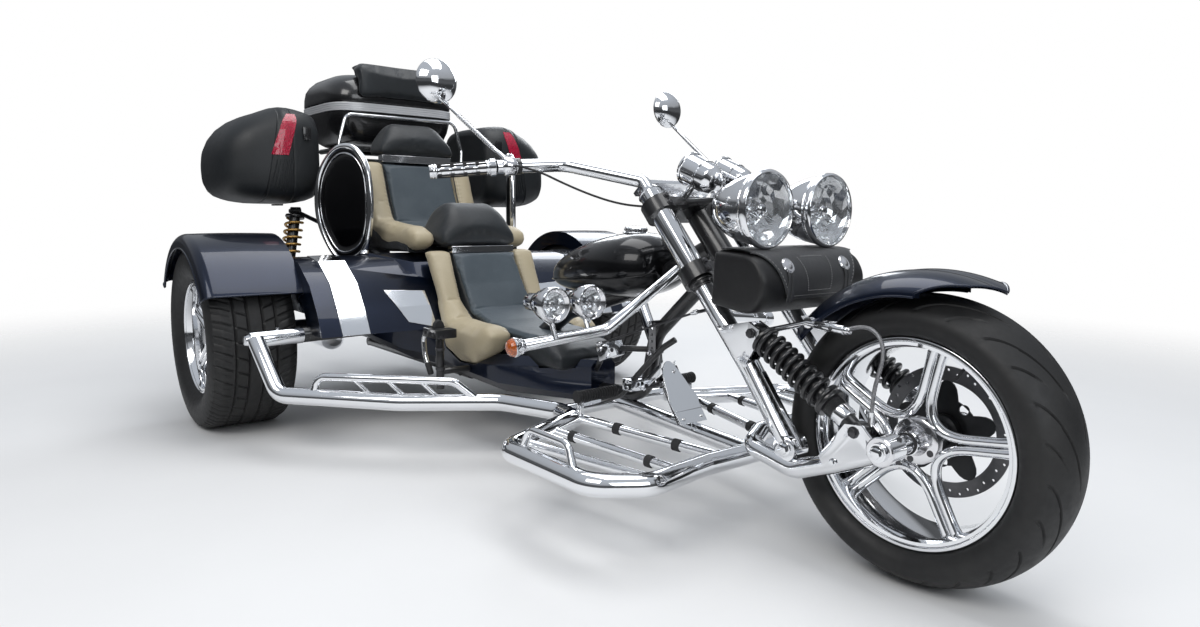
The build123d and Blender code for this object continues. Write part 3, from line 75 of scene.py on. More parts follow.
class Tree:
    """Short way to write a node tree: every call adds a node, sets its inputs and returns it or its output."""

    def __init__(self, tree):
        self.tree = tree
        tree.nodes.clear()

    def add(self, kind, sockets=None, **values):
        node = self.tree.nodes.new(kind)
        for key, value in values.items():
            setattr(node, key, value)
        for key, value in (sockets or {}).items():
            self.feed(node.inputs[key], value)
        return node

    def feed(self, socket, value):
        if isinstance(value, bpy.types.NodeSocket):
            self.tree.links.new(value, socket)
        else:
            socket.default_value = value

    def ramp(self, value, stops):
        node = self.add("ShaderNodeValToRGB", {"Fac": value})
        ramp = node.color_ramp
        while len(ramp.elements) < len(stops):
            ramp.elements.new(0.5)
        for element, (place, colour) in zip(ramp.elements, stops):
            element.position = place
            element.color = (colour, colour, colour, 1) if isinstance(colour, (int, float)) else (*colour, 1)
        return node.outputs["Color"]


class Nodes(Tree):
    """Node tree of one material, with its own place coordinate."""

    def __init__(self, name):
        self.material = bpy.data.materials.new(name)
        self.material.use_nodes = True
        super().__init__(self.material.node_tree)
        self.out = self.add("ShaderNodeOutputMaterial").inputs["Surface"]
        self.place = self.add("ShaderNodeTexCoord").outputs["Object"]

    def noise(self, scale, detail=4, rough=0.5, stretch=None):
        where = self.place
        if stretch:
            where = self.add("ShaderNodeMapping", {"Vector": where, "Scale": stretch}).outputs[0]
        node = self.add("ShaderNodeTexNoise", {"Vector": where, "Scale": scale, "Detail": detail, "Roughness": rough})
        return node.outputs["Fac"]

    def voronoi(self, scale, output="Distance"):
        return self.add("ShaderNodeTexVoronoi", {"Vector": self.place, "Scale": scale}).outputs[output]

    def scale(self, value, low, high):
        return self.add("ShaderNodeMapRange", {"Value": value, "To Min": low, "To Max": high}).outputs["Result"]

    def mix(self, factor, a, b):
        node = self.add("ShaderNodeMix", {"Factor": factor}, data_type="RGBA")
        for socket, value in ((node.inputs[6], a), (node.inputs[7], b)):
            self.feed(socket, (*value, 1) if isinstance(value, tuple) else value)
        return node.outputs[2]

    def math(self, kind, a, b):
        return self.add("ShaderNodeMath", {0: a, 1: b}, operation=kind).outputs[0]

    def bump(self, height, strength, distance, after=None):
        sockets = {"Height": height, "Strength": strength, "Distance": distance}
        if after:
            sockets["Normal"] = after
        return self.add("ShaderNodeBump", sockets).outputs["Normal"]

    def surface(self, **sockets):
        named = {key.replace("_", " "): (*value, 1) if isinstance(value, tuple) else value
                 for key, value in sockets.items()}
        self.feed(self.out, self.add("ShaderNodeBsdfPrincipled", named).outputs[0])
        return self.material


def chrome(name, tint=(0.86, 0.87, 0.89), low=0.03, high=0.10):
    """Bright plating: faint smears change its gloss, and a very shallow wave keeps it from looking computed."""
    n = Nodes(name)
    smear = n.noise(9, 6, 0.6)
    fine = n.noise(160, 3, 0.6)
    rough = n.scale(n.math("MULTIPLY", smear, fine), low, high * 2.2)
    tone = n.mix(n.noise(5, 3), tint, tuple(c * 0.93 for c in tint))
    wave = n.bump(n.noise(22, 2), 0.03, 0.002)
    return n.surface(Base_Color=tone, Metallic=1.0, Roughness=rough, Normal=wave)


def paint(name, deep, flake, spark=0.35):
    """Two-layer car paint: dark pigment with metal flakes under a clear coat, with dust and fine marks."""
    n = Nodes(name)
    flakes = n.ramp(n.voronoi(2600, output="Color"), [(0.55, 0), (0.9, spark)])
    cloud = n.noise(3, 3)
    pigment = n.mix(cloud, deep, tuple(c * 1.5 for c in deep))
    colour = n.mix(flakes, pigment, flake)
    rough = n.scale(n.noise(14, 5), 0.24, 0.36)
    film = n.bump(n.noise(26, 2), 0.02, 0.002)
    return n.surface(Base_Color=colour, Metallic=0.7, Roughness=rough, Coat_Weight=0.9, Coat_Roughness=0.025,
                     Coat_IOR=1.36, Coat_Normal=film)


def leather(name, base, worn, sheen=0.15):
    """Upholstery leather: pebbled grain, soft creases, and lighter, smoother high spots."""
    n = Nodes(name)
    grain = n.voronoi(520)
    pores = n.noise(1500, 4, 0.6)
    crease = n.noise(34, 5, 0.55)
    patch = n.ramp(n.noise(7, 4), [(0.35, 0), (0.75, 1)])
    colour = n.mix(patch, base, worn)
    colour = n.mix(n.scale(grain, 0.0, 0.35), colour, tuple(c * 0.6 for c in base))
    rough = n.scale(n.math("ADD", n.math("MULTIPLY", patch, -0.12), pores), 0.34, 0.62)
    normal = n.bump(grain, 0.28, 0.0006)
    normal = n.bump(pores, 0.12, 0.0003, normal)
    normal = n.bump(crease, 0.25, 0.004, normal)
    return n.surface(Base_Color=colour, Roughness=rough, Normal=normal, Sheen_Weight=sheen, Sheen_Roughness=0.4)


def plastic(name, base, rough=(0.4, 0.55), grain=0.12, coat=0.0):
    """Moulded plastic with a fine spark-eroded grain and faint handling marks."""
    n = Nodes(name)
    colour = n.mix(n.noise(6, 4), base, tuple(c * 1.35 + 0.002 for c in base))
    roughness = n.scale(n.noise(30, 5), *rough)
    normal = n.bump(n.noise(1900, 3, 0.7), grain, 0.0003)
    return n.surface(Base_Color=colour, Roughness=roughness, Normal=normal, Coat_Weight=coat, Coat_Roughness=0.08)


def tyre_rubber(name):
    """Tyre rubber with road dust that lies in broad patches."""
    n = Nodes(name)
    dust = n.ramp(n.noise(8, 6, 0.62), [(0.45, 0), (0.85, 0.5)])
    colour = n.mix(dust, (0.0075, 0.0075, 0.008), (0.030, 0.029, 0.027))
    rough = n.scale(n.noise(60, 4), 0.42, 0.72)
    normal = n.bump(n.noise(900, 4, 0.6), 0.25, 0.0006)
    return n.surface(Base_Color=colour, Roughness=rough, Normal=normal)


def lens_glass(name):
    """Thin lamp glass: mostly open, with a faint mirror film that carries smears."""
    n = Nodes(name)
    normal = n.bump(n.noise(60, 2), 0.05, 0.001)
    roughness = n.scale(n.noise(30, 4), 0.02, 0.07)
    veil = n.scale(n.noise(18, 5), 0.056, 0.091)
    return n.surface(Base_Color=(0.92, 0.95, 0.97), Metallic=1.0, Roughness=roughness, Alpha=veil, Normal=normal)


def silvering(name):
    """Lamp reflector: bright vapour plating with a slight haze."""
    n = Nodes(name)
    haze = n.noise(30, 3)
    tone = n.mix(haze, (0.84, 0.86, 0.88), (0.97, 0.98, 0.99))
    rough = n.scale(n.noise(40, 3), 0.04, 0.10)
    return n.surface(Base_Color=tone, Metallic=0.86, Roughness=rough)


def signal_lens(name, colour):
    """Coloured lens with a prism pattern behind a smooth face."""
    n = Nodes(name)
    prism = n.voronoi(260)
    tone = n.mix(n.ramp(prism, [(0.0, 1), (0.6, 0)]), tuple(c * 0.35 for c in colour), colour)
    normal = n.bump(prism, 0.5, 0.0015)
    rough = n.scale(n.noise(40, 3), 0.12, 0.24)
    return n.surface(Base_Color=tone, Roughness=rough, Normal=normal, Coat_Weight=1.0, Coat_Roughness=0.04)


def worn_metal(name, base, metallic, rough, brush=None):
    """Cast, painted or brushed metal with grime."""
    n = Nodes(name)
    grime = n.ramp(n.noise(11, 6, 0.65), [(0.4, 0), (0.75, 0.6)])
    colour = n.mix(grime, base, tuple(c * 0.45 for c in base))
    line = n.noise(220, 4, 0.6, brush) if brush else n.noise(500, 4, 0.6)
    roughness = n.scale(line, *rough)
    normal = n.bump(line, 0.12, 0.0005)
    return n.surface(Base_Color=colour, Metallic=metallic, Roughness=roughness, Normal=normal)


def braid(name):
    """Woven steel sleeve."""
    n = Nodes(name)
    strands = [n.add("ShaderNodeTexWave", {"Vector": n.place, "Scale": 190, "Distortion": 0.6}, bands_direction=way)
               for way in ("X", "Z")]
    weave = n.math("MULTIPLY", strands[0].outputs["Fac"], strands[1].outputs["Fac"])
    tone = n.mix(n.ramp(weave, [(0.1, 0), (0.5, 1)]), (0.10, 0.10, 0.11), (0.62, 0.62, 0.63))
    return n.surface(Base_Color=tone, Metallic=0.9, Roughness=n.scale(n.noise(90, 3), 0.25, 0.4),
                     Normal=n.bump(weave, 0.6, 0.001))


LOOKS = (
    # maker, name and its tones, in the order that the maker takes them
    (chrome, "chrome"),
    (chrome, "chrome_cast", (0.80, 0.80, 0.82), 0.07, 0.16),
    (plastic, "satin_trim", (0.50, 0.51, 0.53), (0.2, 0.3), 0.05, 0.6),
    (chrome, "mirror_plate", (0.90, 0.92, 0.95), 0.05, 0.10),
    (paint, "navy_paint", (0.0022, 0.0055, 0.017), (0.010, 0.030, 0.085)),
    (paint, "black_paint", (0.002, 0.002, 0.003), (0.01, 0.012, 0.018), 0.15),
    (leather, "grey_leather", (0.042, 0.060, 0.076), (0.066, 0.088, 0.106)),
    (leather, "black_leather", (0.010, 0.013, 0.016), (0.021, 0.026, 0.031)),
    (leather, "cream_leather", (0.44, 0.375, 0.25), (0.54, 0.47, 0.335), 0.1),
    (leather, "bag_leather", (0.005, 0.005, 0.006), (0.011, 0.011, 0.012), 0.05),
    # Lighter copy of the roll's black leather for its flap and thongs: painted light where light falls on the top of
    # the roll
    (leather, "flap_leather", (0.030, 0.031, 0.034), (0.052, 0.054, 0.058)),
    (plastic, "matte_case", (0.009, 0.011, 0.013), (0.40, 0.56), 0.3),
    (plastic, "gloss_case", (0.008, 0.008, 0.009), (0.18, 0.3), 0.03, 0.6),
    (plastic, "black_metal", (0.010, 0.010, 0.011), (0.22, 0.38), 0.05, 0.4),
    (plastic, "rubber", (0.014, 0.014, 0.015), (0.6, 0.8), 0.4),
    (tyre_rubber, "tyre"),
    (lens_glass, "glass"),
    (signal_lens, "red_lens", (0.62, 0.008, 0.035)),
    # Side case reflectors: red made lighter and pinker than the tail lamps' lens, partly real red and partly painted
    # highlight
    (signal_lens, "pink_lens", (0.86, 0.010, 0.075)),
    (signal_lens, "amber_lens", (0.85, 0.17, 0.01)),
    (worn_metal, "gold_spring", (0.55, 0.33, 0.10), 0.7, (0.25, 0.45)),
    (worn_metal, "disc_steel", (0.12, 0.12, 0.125), 1.0, (0.22, 0.4), (1, 40, 1)),
    (worn_metal, "dark_steel", (0.09, 0.09, 0.095), 0.8, (0.3, 0.5)),
    (worn_metal, "cast_alloy", (0.36, 0.36, 0.37), 0.9, (0.35, 0.55)),
    (plastic, "dial", (0.75, 0.75, 0.72), (0.3, 0.4), 0.02),
    (braid, "braid"),
    (worn_metal, "black_disc", (0.035, 0.036, 0.038), 0.8, (0.3, 0.45)),
    (plastic, "thread", (0.24, 0.24, 0.245), (0.6, 0.7), 0.3),
    (plastic, "pale_thread", (0.55, 0.50, 0.40), (0.6, 0.7), 0.3),
    (silvering, "reflector"),
)
MATERIALS = {name: make(name, *tones) for make, name, *tones in LOOKS}


# Shape helpers


def stand(name, data):
    """New object in the scene."""
    thing = bpy.data.objects.new(name, data)
    scene.collection.objects.link(thing)
    return thing


def hoop(centre, side, other, radius, count):
    """Points round a circle, in metres, from one direction toward another."""
    turns = [2 * pi * k / count for k in range(count)]
    return [centre + side * (radius * cos(a)) + other * (radius * sin(a)) for a in turns]


def square_to(axis):
    """Two directions square to an axis and to each other."""
    side = axis.orthogonal().normalized()
    return side, axis.cross(side)


def collar(begin, end, low, high, slope=1.0):
    """Profile of a band round a shaft, with sloping ends."""
    return [(begin, low), (begin + slope, high), (end - slope, high), (end, low)]


class Maker:
    """Gathers the faces of one piece, in metres, each with its material."""

    def __init__(self):
        self.points = []
        self.faces = []
        self.inks = []
        self.palette = []

    def add(self, points, faces, material):
        if material not in self.palette:
            self.palette.append(material)
        start = len(self.points)
        self.points += [Vector(p) for p in points]
        self.faces += [[i + start for i in face] for face in faces]
        self.inks += [self.palette.index(material)] * len(faces)

    def shut(self, row, material):
        """One face over a closed row of points."""
        self.add(row, [list(range(len(row)))], material)

    def grid(self, rows, material, wrap_rows=False, wrap_columns=True, caps=False):
        """Skin over rows of points that all have the same count."""
        count, width = len(rows), len(rows[0])
        faces = []
        for i in range(count if wrap_rows else count - 1):
            for j in range(width if wrap_columns else width - 1):
                a, b = i * width, ((i + 1) % count) * width
                k = (j + 1) % width
                faces.append([a + j, a + k, b + k, b + j])
        if caps:
            faces.append(list(range(width))[::-1])
            faces.append([(count - 1) * width + j for j in range(width)])
        self.add([p for row in rows for p in row], faces, material)

    def lathe(self, start, axis, profile, material, sides=48, caps=True):
        """Turned form: profile is a list of (distance along the axis, radius), in millimetres."""
        start, axis = Vector(start), Vector(axis).normalized()
        side, other = square_to(axis)
        rows = [hoop(start + axis * (along / 1000), side, other, max(radius, 0.01) / 1000, sides)
                for along, radius in profile]
        self.grid(rows, material, caps=caps)

    def rod(self, start, end, radius, material, sides=24, end_radius=None, edge=1.0):
        """Round bar with softened ends."""
        start, end = Vector(start), Vector(end)
        length = (end - start).length * 1000
        far = radius if end_radius is None else end_radius
        edge = min(edge, length / 3, radius / 2, far / 2)
        self.lathe(start, end - start, [
            (0, radius - edge), (edge * 0.3, radius - edge * 0.3), (edge, radius),
            (length - edge, far), (length - edge * 0.3, far - edge * 0.3), (length, far - edge),
        ], material, sides)

    def tube(self, points, radius, bends, material, sides=32):
        """Tube along straight runs in metres, with an arc of the given radius in millimetres at each corner."""
        self.sweep(rounded_path(points, bends), radius, material, sides)

    def sweep(self, path, radius, material, sides=32):
        """Round bar along a path in metres; radius in millimetres."""
        rows = [hoop(centre, side, other, radius / 1000, sides) for centre, side, other in travel(path)]
        self.grid(rows, material, caps=True)

    def box(self, centre, size, material, turn=None, edge=1.5):
        """Block with softened edges; size and edge in millimetres, turn a rotation matrix."""
        bm = bmesh.new()
        bmesh.ops.create_cube(bm, size=1)
        bmesh.ops.scale(bm, vec=Vector(size) / 1000, verts=bm.verts)
        bmesh.ops.bevel(bm, geom=bm.edges, offset=edge / 1000, segments=2, affect="EDGES", profile=0.6)
        place = Matrix.Translation(centre) @ (turn.to_4x4() if turn else Matrix())
        bm.verts.index_update()
        self.add([place @ v.co for v in bm.verts], [[v.index for v in f.verts] for f in bm.faces], material)
        bm.free()

    def flat(self, loops, thickness, place, material, edge=0.8, resolution=3):
        """Plate from closed outlines in millimetres, holes included, centred on its plane, with rounded edges."""
        curve = bpy.data.curves.new("outline", "CURVE")
        curve.dimensions = "2D"
        curve.fill_mode = "BOTH"
        curve.extrude = (thickness / 2 - edge) / 1000
        curve.bevel_depth = edge / 1000
        curve.bevel_resolution = resolution
        curve.offset = -edge / 1000
        for loop in loops:
            spline = curve.splines.new("POLY")
            spline.points.add(len(loop) - 1)
            for point, (x, y) in zip(spline.points, loop):
                point.co = (x / 1000, y / 1000, 0, 1)
            spline.use_cyclic_u = True
        holder = bpy.data.objects.new("outline", curve)
        mesh = bpy.data.meshes.new_from_object(holder)
        self.add([place @ v.co for v in mesh.vertices], [list(p.vertices) for p in mesh.polygons], material)
        bpy.data.objects.remove(holder)
        bpy.data.curves.remove(curve)
        bpy.data.meshes.remove(mesh)

    def make(self, name, body, stands_for=(), smooth=35, subdivide=0):
        """Turns what was gathered into a piece that rides on a body and stands for its CAD nodes."""
        mesh = bpy.data.meshes.new(name)
        mesh.from_pydata(self.points, [], self.faces)
        for ink in self.palette:
            mesh.materials.append(MATERIALS[ink])
        mesh.polygons.foreach_set("material_index", self.inks)
        bm = bmesh.new()
        bm.from_mesh(mesh)
        bmesh.ops.recalc_face_normals(bm, faces=bm.faces)
        bm.to_mesh(mesh)
        bm.free()
        mesh.shade_smooth()
        if smooth < 180:
            mesh.set_sharp_from_angle(angle=radians(smooth))
        piece = stand(name, mesh)
        if subdivide:
            fine = piece.modifiers.new("fine", "SUBSURF")
            fine.levels = fine.render_levels = subdivide
        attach(piece, body)
        if stands_for:
            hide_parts(*stands_for)
        return piece


def rounded_path(points, bends, step=9):
    """Runs with an arc at each corner: a list of points, closer together round the arcs."""
    points = [Vector(p) for p in points]
    if not isinstance(bends, (list, tuple)):
        bends = [bends] * (len(points) - 2)
    path = [points[0]]
    for before, corner, after, bend in zip(points, points[1:], points[2:], bends):
        into, out = (before - corner).normalized(), (after - corner).normalized()
        half = into.angle(out) / 2
        reach = min(bend / 1000 / tan(half), 0.49 * (before - corner).length, 0.49 * (after - corner).length)
        radius = reach * tan(half)
        centre = corner + (into + out).normalized() * (radius / sin(half))
        start, end = corner + into * reach - centre, corner + out * reach - centre
        turn = start.angle(end)
        count = max(3, int(degrees(turn) / step) + 1)
        for k in range(count + 1):
            t = k / count
            path.append(centre + (start * sin((1 - t) * turn) + end * sin(t * turn)) / sin(turn))
    path.append(points[-1])
    return path


def travel(path):
    """For each point of a path: the point and two directions across it that turn as little as they can."""
    frames = []
    side = None
    for i, centre in enumerate(path):
        ahead = path[min(i + 1, len(path) - 1)] - path[max(i - 1, 0)]
        ahead.normalize()
        if side is None:
            side = ahead.orthogonal().normalized()
        side = (side - ahead * side.dot(ahead)).normalized()
        frames.append((centre, side, ahead.cross(side)))
    return frames


def circle(radius, count=64, centre=(0, 0)):
    return [(centre[0] + radius * cos(2 * pi * k / count), centre[1] + radius * sin(2 * pi * k / count))
            for k in range(count)]


def axes(origin, x, z):
    """Placing matrix from an origin in metres, a first direction and a normal."""
    z = Vector(z).normalized()
    x = Vector(x)
    x = (x - z * x.dot(z)).normalized()
    y = z.cross(x)
    m = Matrix((x, y, z)).transposed().to_4x4()
    m.translation = origin
    return m


# Fork plane: u ahead of the steering axis, v left, w up along the axis from the lower clamp
RAKE = radians(41.3)
HEAD = (-563, 647)


def on_fork(u, v, w):
    return at(HEAD[0] + u * cos(RAKE) - w * sin(RAKE), v, HEAD[1] + u * sin(RAKE) + w * cos(RAKE))


# Cords


def cord_piece(name, node, body, route, radius, material):
    """Cord along a route of stations; radius in millimetres."""
    curve = bpy.data.curves.new(name, "CURVE")
    curve.dimensions = "3D"
    curve.bevel_depth = radius / 1000
    curve.bevel_resolution = 6
    curve.resolution_u = 12
    curve.use_fill_caps = True
    spline = curve.splines.new("NURBS")
    spline.points.add(len(route) - 1)
    for point, station in zip(spline.points, route):
        point.co = (*at(*station), 1)
    spline.order_u = 3
    spline.use_endpoint_u = True
    curve.materials.append(MATERIALS[material])
    piece = stand(name, curve)
    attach(piece, body)
    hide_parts(node)
    line = curve.copy()
    line.bevel_depth = 0
    holder = bpy.data.objects.new("line", line)
    mesh = bpy.data.meshes.new_from_object(holder)
    bpy.data.objects.remove(holder)
    bpy.data.meshes.remove(mesh)
    bpy.data.curves.remove(line)


# Routes in stations, the same points as in the part's source
CABLE_R = 3
CABLE = [
    (-986, -416, 929), (-962, -366, 918), (-922, -306, 884), (-880, -246, 854), (-838, -190, 832),
    (-797, -140, 822), (-753, -92, 821),
]
HOSE_R = 4.5
HOSE = [
    (-120, -140, 556), (-78, -141, 573), (-38, -141, 560), (-22, -141, 522), (-32, -139, 478),
    (-46, -135, 434), (-50, -131, 388),
]
cord_piece("throttle_cable", "control_cable", "fork", CABLE, CABLE_R, "rubber")
cord_piece("braided_hose", "brake_hose", "fork", HOSE, HOSE_R, "braid")


# Wheels


def arc(start, through, end, count):
    """Points on the arc through three points of a plane, the first left out."""
    (ax, ay), (bx, by), (cx, cy) = start, through, end
    d = 2 * (ax * (by - cy) + bx * (cy - ay) + cx * (ay - by))
    a2, b2, c2 = ax * ax + ay * ay, bx * bx + by * by, cx * cx + cy * cy
    ux = (a2 * (by - cy) + b2 * (cy - ay) + c2 * (ay - by)) / d
    uy = (a2 * (cx - bx) + b2 * (ax - cx) + c2 * (bx - ax)) / d
    radius = hypot(ax - ux, ay - uy)
    first, middle, last = (atan2(y - uy, x - ux) for x, y in (start, through, end))
    turn = (last - first) % (2 * pi)
    if (middle - first) % (2 * pi) > turn:
        turn -= 2 * pi
    return [(ux + radius * cos(first + turn * k / count), uy + radius * sin(first + turn * k / count))
            for k in range(1, count + 1)]


def wheel_point(centre, radius, turn, along):
    """Point of a wheel: turn in degrees from straight up, forward positive; along is its distance to the left."""
    a = radians(turn)
    return centre + Vector((radius * sin(a), along, radius * cos(a))) / 1000


FRONT_R, FRONT_W, FRONT_RIM_R, FRONT_RIM_W = 320, 195, 230, 152
REAR_R, REAR_W, REAR_RIM_R, REAR_RIM_W = 336, 295, 208, 238
REAR_X, REAR_Y = -2300, 837
DISC_Y = 88


def tyre_skin(name, node, body, centre, section, columns, lean, cut):
    """Skin of a tyre on a grid that leans with the tread's grooves, so that each groove has clean edges."""
    width = 0.5 * (max(y for r, y in section) - min(y for r, y in section))
    rows = []
    for k in range(columns):
        row = []
        for radius, y in section:
            share = y / width
            turn = 360 * k / columns + lean(min(abs(share), 1))
            row.append(wheel_point(centre, radius - cut(k, share, radius), turn, y))
        rows.append(row)
    m = Maker()
    m.grid(rows, "tyre", wrap_rows=True)
    m.make(name, body, (node,), smooth=30)


def tyre_section(rim_r, rim_half, wall, crown, back):
    """Closed section of (radius, distance across) pairs, from bead to bead."""
    return [(rim_r - 11, -rim_half), (rim_r + 1, -rim_half)] + wall + crown + back + [(rim_r - 11, rim_half)]


def front_tyre():
    half, lip, shoulder = FRONT_W / 2, FRONT_RIM_R + 1, FRONT_R - 30
    rim_half, side = FRONT_RIM_W / 2 - 6, (lip + shoulder) / 2
    wall = arc((lip, -rim_half), (side, -half), (shoulder, 12 - half), 10)
    crown = arc((shoulder, 12 - half), (FRONT_R, 0), (shoulder, half - 12), 56)
    back = arc((shoulder, half - 12), (side, half), (lip, rim_half), 10)
    columns, pitches, depth = 480, 12, 4.5
    pitch = columns // pitches

    def lean(share):
        return 40 * (1 - share) ** 1.7

    def cut(k, share, radius):
        edge = abs(share)
        if radius < shoulder - 4:
            return -0.7 if lip + 8 < radius < lip + 13 or shoulder - 14 < radius < shoulder - 11 else 0
        local = (k + (pitch // 2 if share > 0 else 0)) % pitch
        wide = 4 if edge < 0.3 else 3 if edge < 0.55 else 2
        if local < wide and 0.10 < edge < 0.90:
            return depth * min(1, (edge - 0.10) * 12, (0.90 - edge) * 12)
        if pitch // 2 <= local < pitch // 2 + 2 and 0.52 < edge < 0.93:
            return depth * min(1, (edge - 0.52) * 12, (0.93 - edge) * 14)
        return 0

    tyre_skin("front_tyre_skin", "front_tyre", "front_wheel", at(0, 0, FRONT_R),
              tyre_section(FRONT_RIM_R, rim_half, wall, crown, back), columns, lean, cut)


def rear_tyre(side, name):
    half, lip, shoulder = REAR_W / 2, REAR_RIM_R + 1, REAR_R - 14
    rim_half, steps = REAR_RIM_W / 2 - 6, 44
    wall = arc((lip, -rim_half), (REAR_R - 66, -half), (shoulder, 12 - half), 14)
    back = arc((shoulder, half - 12), (REAR_R - 66, half), (lip, rim_half), 14)
    crown = [(shoulder + 14 * min(1, (1 - abs(2 * k / steps - 1)) * 5.2), (12 - half) * (1 - 2 * k / steps))
             for k in range(1, steps + 1)]
    columns, pitches, depth = 360, 40, 6
    pitch = columns // pitches

    def lean(share):
        return 10 * (1 - share)

    def cut(k, share, radius):
        edge = abs(share)
        if radius < shoulder - 2:
            return -0.8 if abs(radius - lip - 12) < 4 or abs(radius - shoulder + 22) < 3 else 0
        if any(abs(edge - groove) < 0.028 for groove in (0.16, 0.47)):
            return depth
        local = (k + (pitch // 2 if share > 0 else 0)) % pitch
        if local < 1 and (edge > 0.5 or 0.2 < edge < 0.42):
            return depth * 0.8
        return depth * 0.5 if edge > 0.5 and local == pitch // 2 else 0

    tyre_skin(f"rear_tyre_skin_{name}", f"rear_tyre_{name}", f"rear_wheel_{name}", at(REAR_X, side * REAR_Y, REAR_R),
              tyre_section(REAR_RIM_R, rim_half, wall, crown, back), columns, lean, cut)


def bezier(a, b, c, count):
    return [a * (1 - t) ** 2 + b * (2 * t * (1 - t)) + c * t ** 2 for t in (k / count for k in range(1, count + 1))]


def spoke_bar(maker, centre, turn, side, face, size):
    """One bar of the star: in along one spoke, round the hub and out along the next."""
    offset, reach, fork, ring, wide, deep, drop = size
    out = Vector((offset, reach))
    split = Vector((offset, fork))
    half = radians(36)
    middle = Vector((ring * sin(half), ring * cos(half)))
    corner = Vector((offset, (ring - offset * sin(half)) / cos(half)))
    run = [out + (split - out) * (k / 6) for k in range(7)] + bezier(split, corner, middle, 12)
    mirror_x, mirror_y = Vector((cos(2 * half), -sin(2 * half))), Vector((sin(2 * half), cos(2 * half)))

    def reflect(p):
        return mirror_y * p.y - mirror_x * p.x

    run += [reflect(p) for p in run[-2::-1]]
    rows = []
    count = len(run)
    for i, p in enumerate(run):
        ahead = run[min(i + 1, count - 1)] - run[max(i - 1, 0)]
        ahead.normalize()
        across = Vector((ahead.y, -ahead.x))
        radius = p.length
        dish = face - side * drop * (radius - ring) / (reach - ring)
        flare = 1 + 0.25 * max(0, 1 - (reach - radius) / 26)
        ring_points = []
        for k in range(16):
            a = 2 * pi * k / 16
            q = p + across * (wide * flare * cos(a))
            y = dish + deep * sin(a)
            t = radians(turn)
            x, z = q.x * cos(t) + q.y * sin(t), q.y * cos(t) - q.x * sin(t)
            ring_points.append(centre + Vector((x, y, z)) / 1000)
        rows.append(ring_points)
    maker.grid(rows, "chrome", caps=True)


def rim(name, node, body, centre, side, radius, half, bore, star, hub, turn):
    """Cast wheel: barrel with stepped lips, five forked spokes and a hub with a ring of dark pockets."""
    maker = Maker()
    axis = Vector((0, side, 0))
    seat, wall = radius - 12, 7
    inner = seat - wall
    outside = [
        (-half, inner), (-half, radius - 3), (-half + 2, radius), (5 - half, radius), (6 - half, seat),
        (half - 6, seat), (half - 5, radius), (half - 2, radius), (half - 0.6, radius - 1), (half, radius - 3),
        (half, radius - 8), (half - 2, radius - 10), (half - 5, radius - 11), (half - 6, inner + 1),
        (half - 16, inner - 3), (half - 26, inner - 6), (16 - half, inner - 6), (-half, inner),
    ]
    rows = []
    sides = 120
    for along, r in outside:
        rows.append([centre + Vector((r * sin(2 * pi * k / sides), side * along, r * cos(2 * pi * k / sides))) / 1000
                     for k in range(sides)])
    maker.grid(rows, "chrome")
    face, hub_r, hub_half = hub
    for i in range(5):
        spoke_bar(maker, centre, turn + 72 * i, side, side * face, star)
    top = face + 6
    maker.lathe(centre, axis, [
        (-hub_half, bore), (-hub_half, hub_r * 0.6), (4 - hub_half, hub_r * 0.64), (face - 30, hub_r * 0.7),
        (face - 16, hub_r), (top - 3, hub_r), (top, hub_r - 4), (top, hub_r * 0.62), (top + 5, hub_r * 0.56),
        (max(hub_half, top + 8), hub_r * 0.5), (max(hub_half, top + 8) + 0.1, bore),
    ], "chrome_cast", 64)
    for i in range(5):
        place = wheel_point(centre, hub_r * 0.8, turn + 72 * i + 36, side * top)
        maker.lathe(place - axis * 0.004, axis, [(0, 7.5), (4.4, 7.5), (4.6, 5)], "dark_steel", 20)
    valve = wheel_point(centre, inner - 6, turn + 20, side * (half - 30))
    maker.rod(valve, valve - (valve - centre).normalized() * 0.03 + axis * 0.012, 3.2, "rubber", 12)
    maker.make(name, body, (node,), smooth=40)


front_tyre()
rim("front_wheel_casting", "front_rim", "front_wheel", at(0, 0, FRONT_R), -1, FRONT_RIM_R, FRONT_RIM_W / 2, 12.6,
    (10.5, 211, 122, 62, 10.5, 13, 6), (34, 52, 61), 10)
for side, name in NAMED_SIDES:
    rear_tyre(side, name)
    rim(f"rear_wheel_casting_{name}", f"rear_rim_{name}", f"rear_wheel_{name}", at(REAR_X, side * REAR_Y, REAR_R),
        side, REAR_RIM_R, REAR_RIM_W / 2, 20.6, (13, 189, 118, 66, 13, 14, -14), (62, 58, 95), 10)


def brake_disc():
    """Floating disc with drilled holes, on a dark carrier with five arms."""
    m = Maker()
    left = (0, 1, 0)

    def spot(radius, share):
        return radius * cos(2 * pi * share), radius * sin(2 * pi * share)

    def plate(loops, y, material, edge, resolution):
        m.flat(loops, 5, axes(at(0, y, FRONT_R), (0, 0, 1), left), material, edge, resolution)

    holes = [circle(3.2, 10, spot(134 if i % 2 else 142, i / 40)) for i in range(40)]
    plate([circle(150, 96), circle(116, 96)] + holes, DISC_Y + 2.5, "disc_steel", 0.5, 1)
    carrier = [spot(78 + 40 * max(0, cos(10 * pi * i / 90)) ** 0.7, i / 90) for i in range(90)]
    slots = [circle(12, 20, spot(70, (i + 0.5) / 5)) for i in range(5)]
    plate([carrier, circle(30, 48)] + slots, DISC_Y + 2, "black_disc", 0.8, 2)
    hat = [(0, 12.6), (0, 44), (20, 42), (29.5, 40), (29.5, 12.6)]
    m.lathe(at(0, 62.5, FRONT_R), left, hat, "black_disc", 48)
    for i in range(5):
        centre = wheel_point(at(0, 0, FRONT_R), 58, 72 * i, DISC_Y + 4.4)
        m.lathe(centre, left, [(0, 6.5), (4, 6.5), (5, 5)], "dark_steel", 6)
    m.make("brake_disc_skin", "front_wheel", ("front_disc",), smooth=35)


brake_disc()


# CAD pieces with their edges rounded


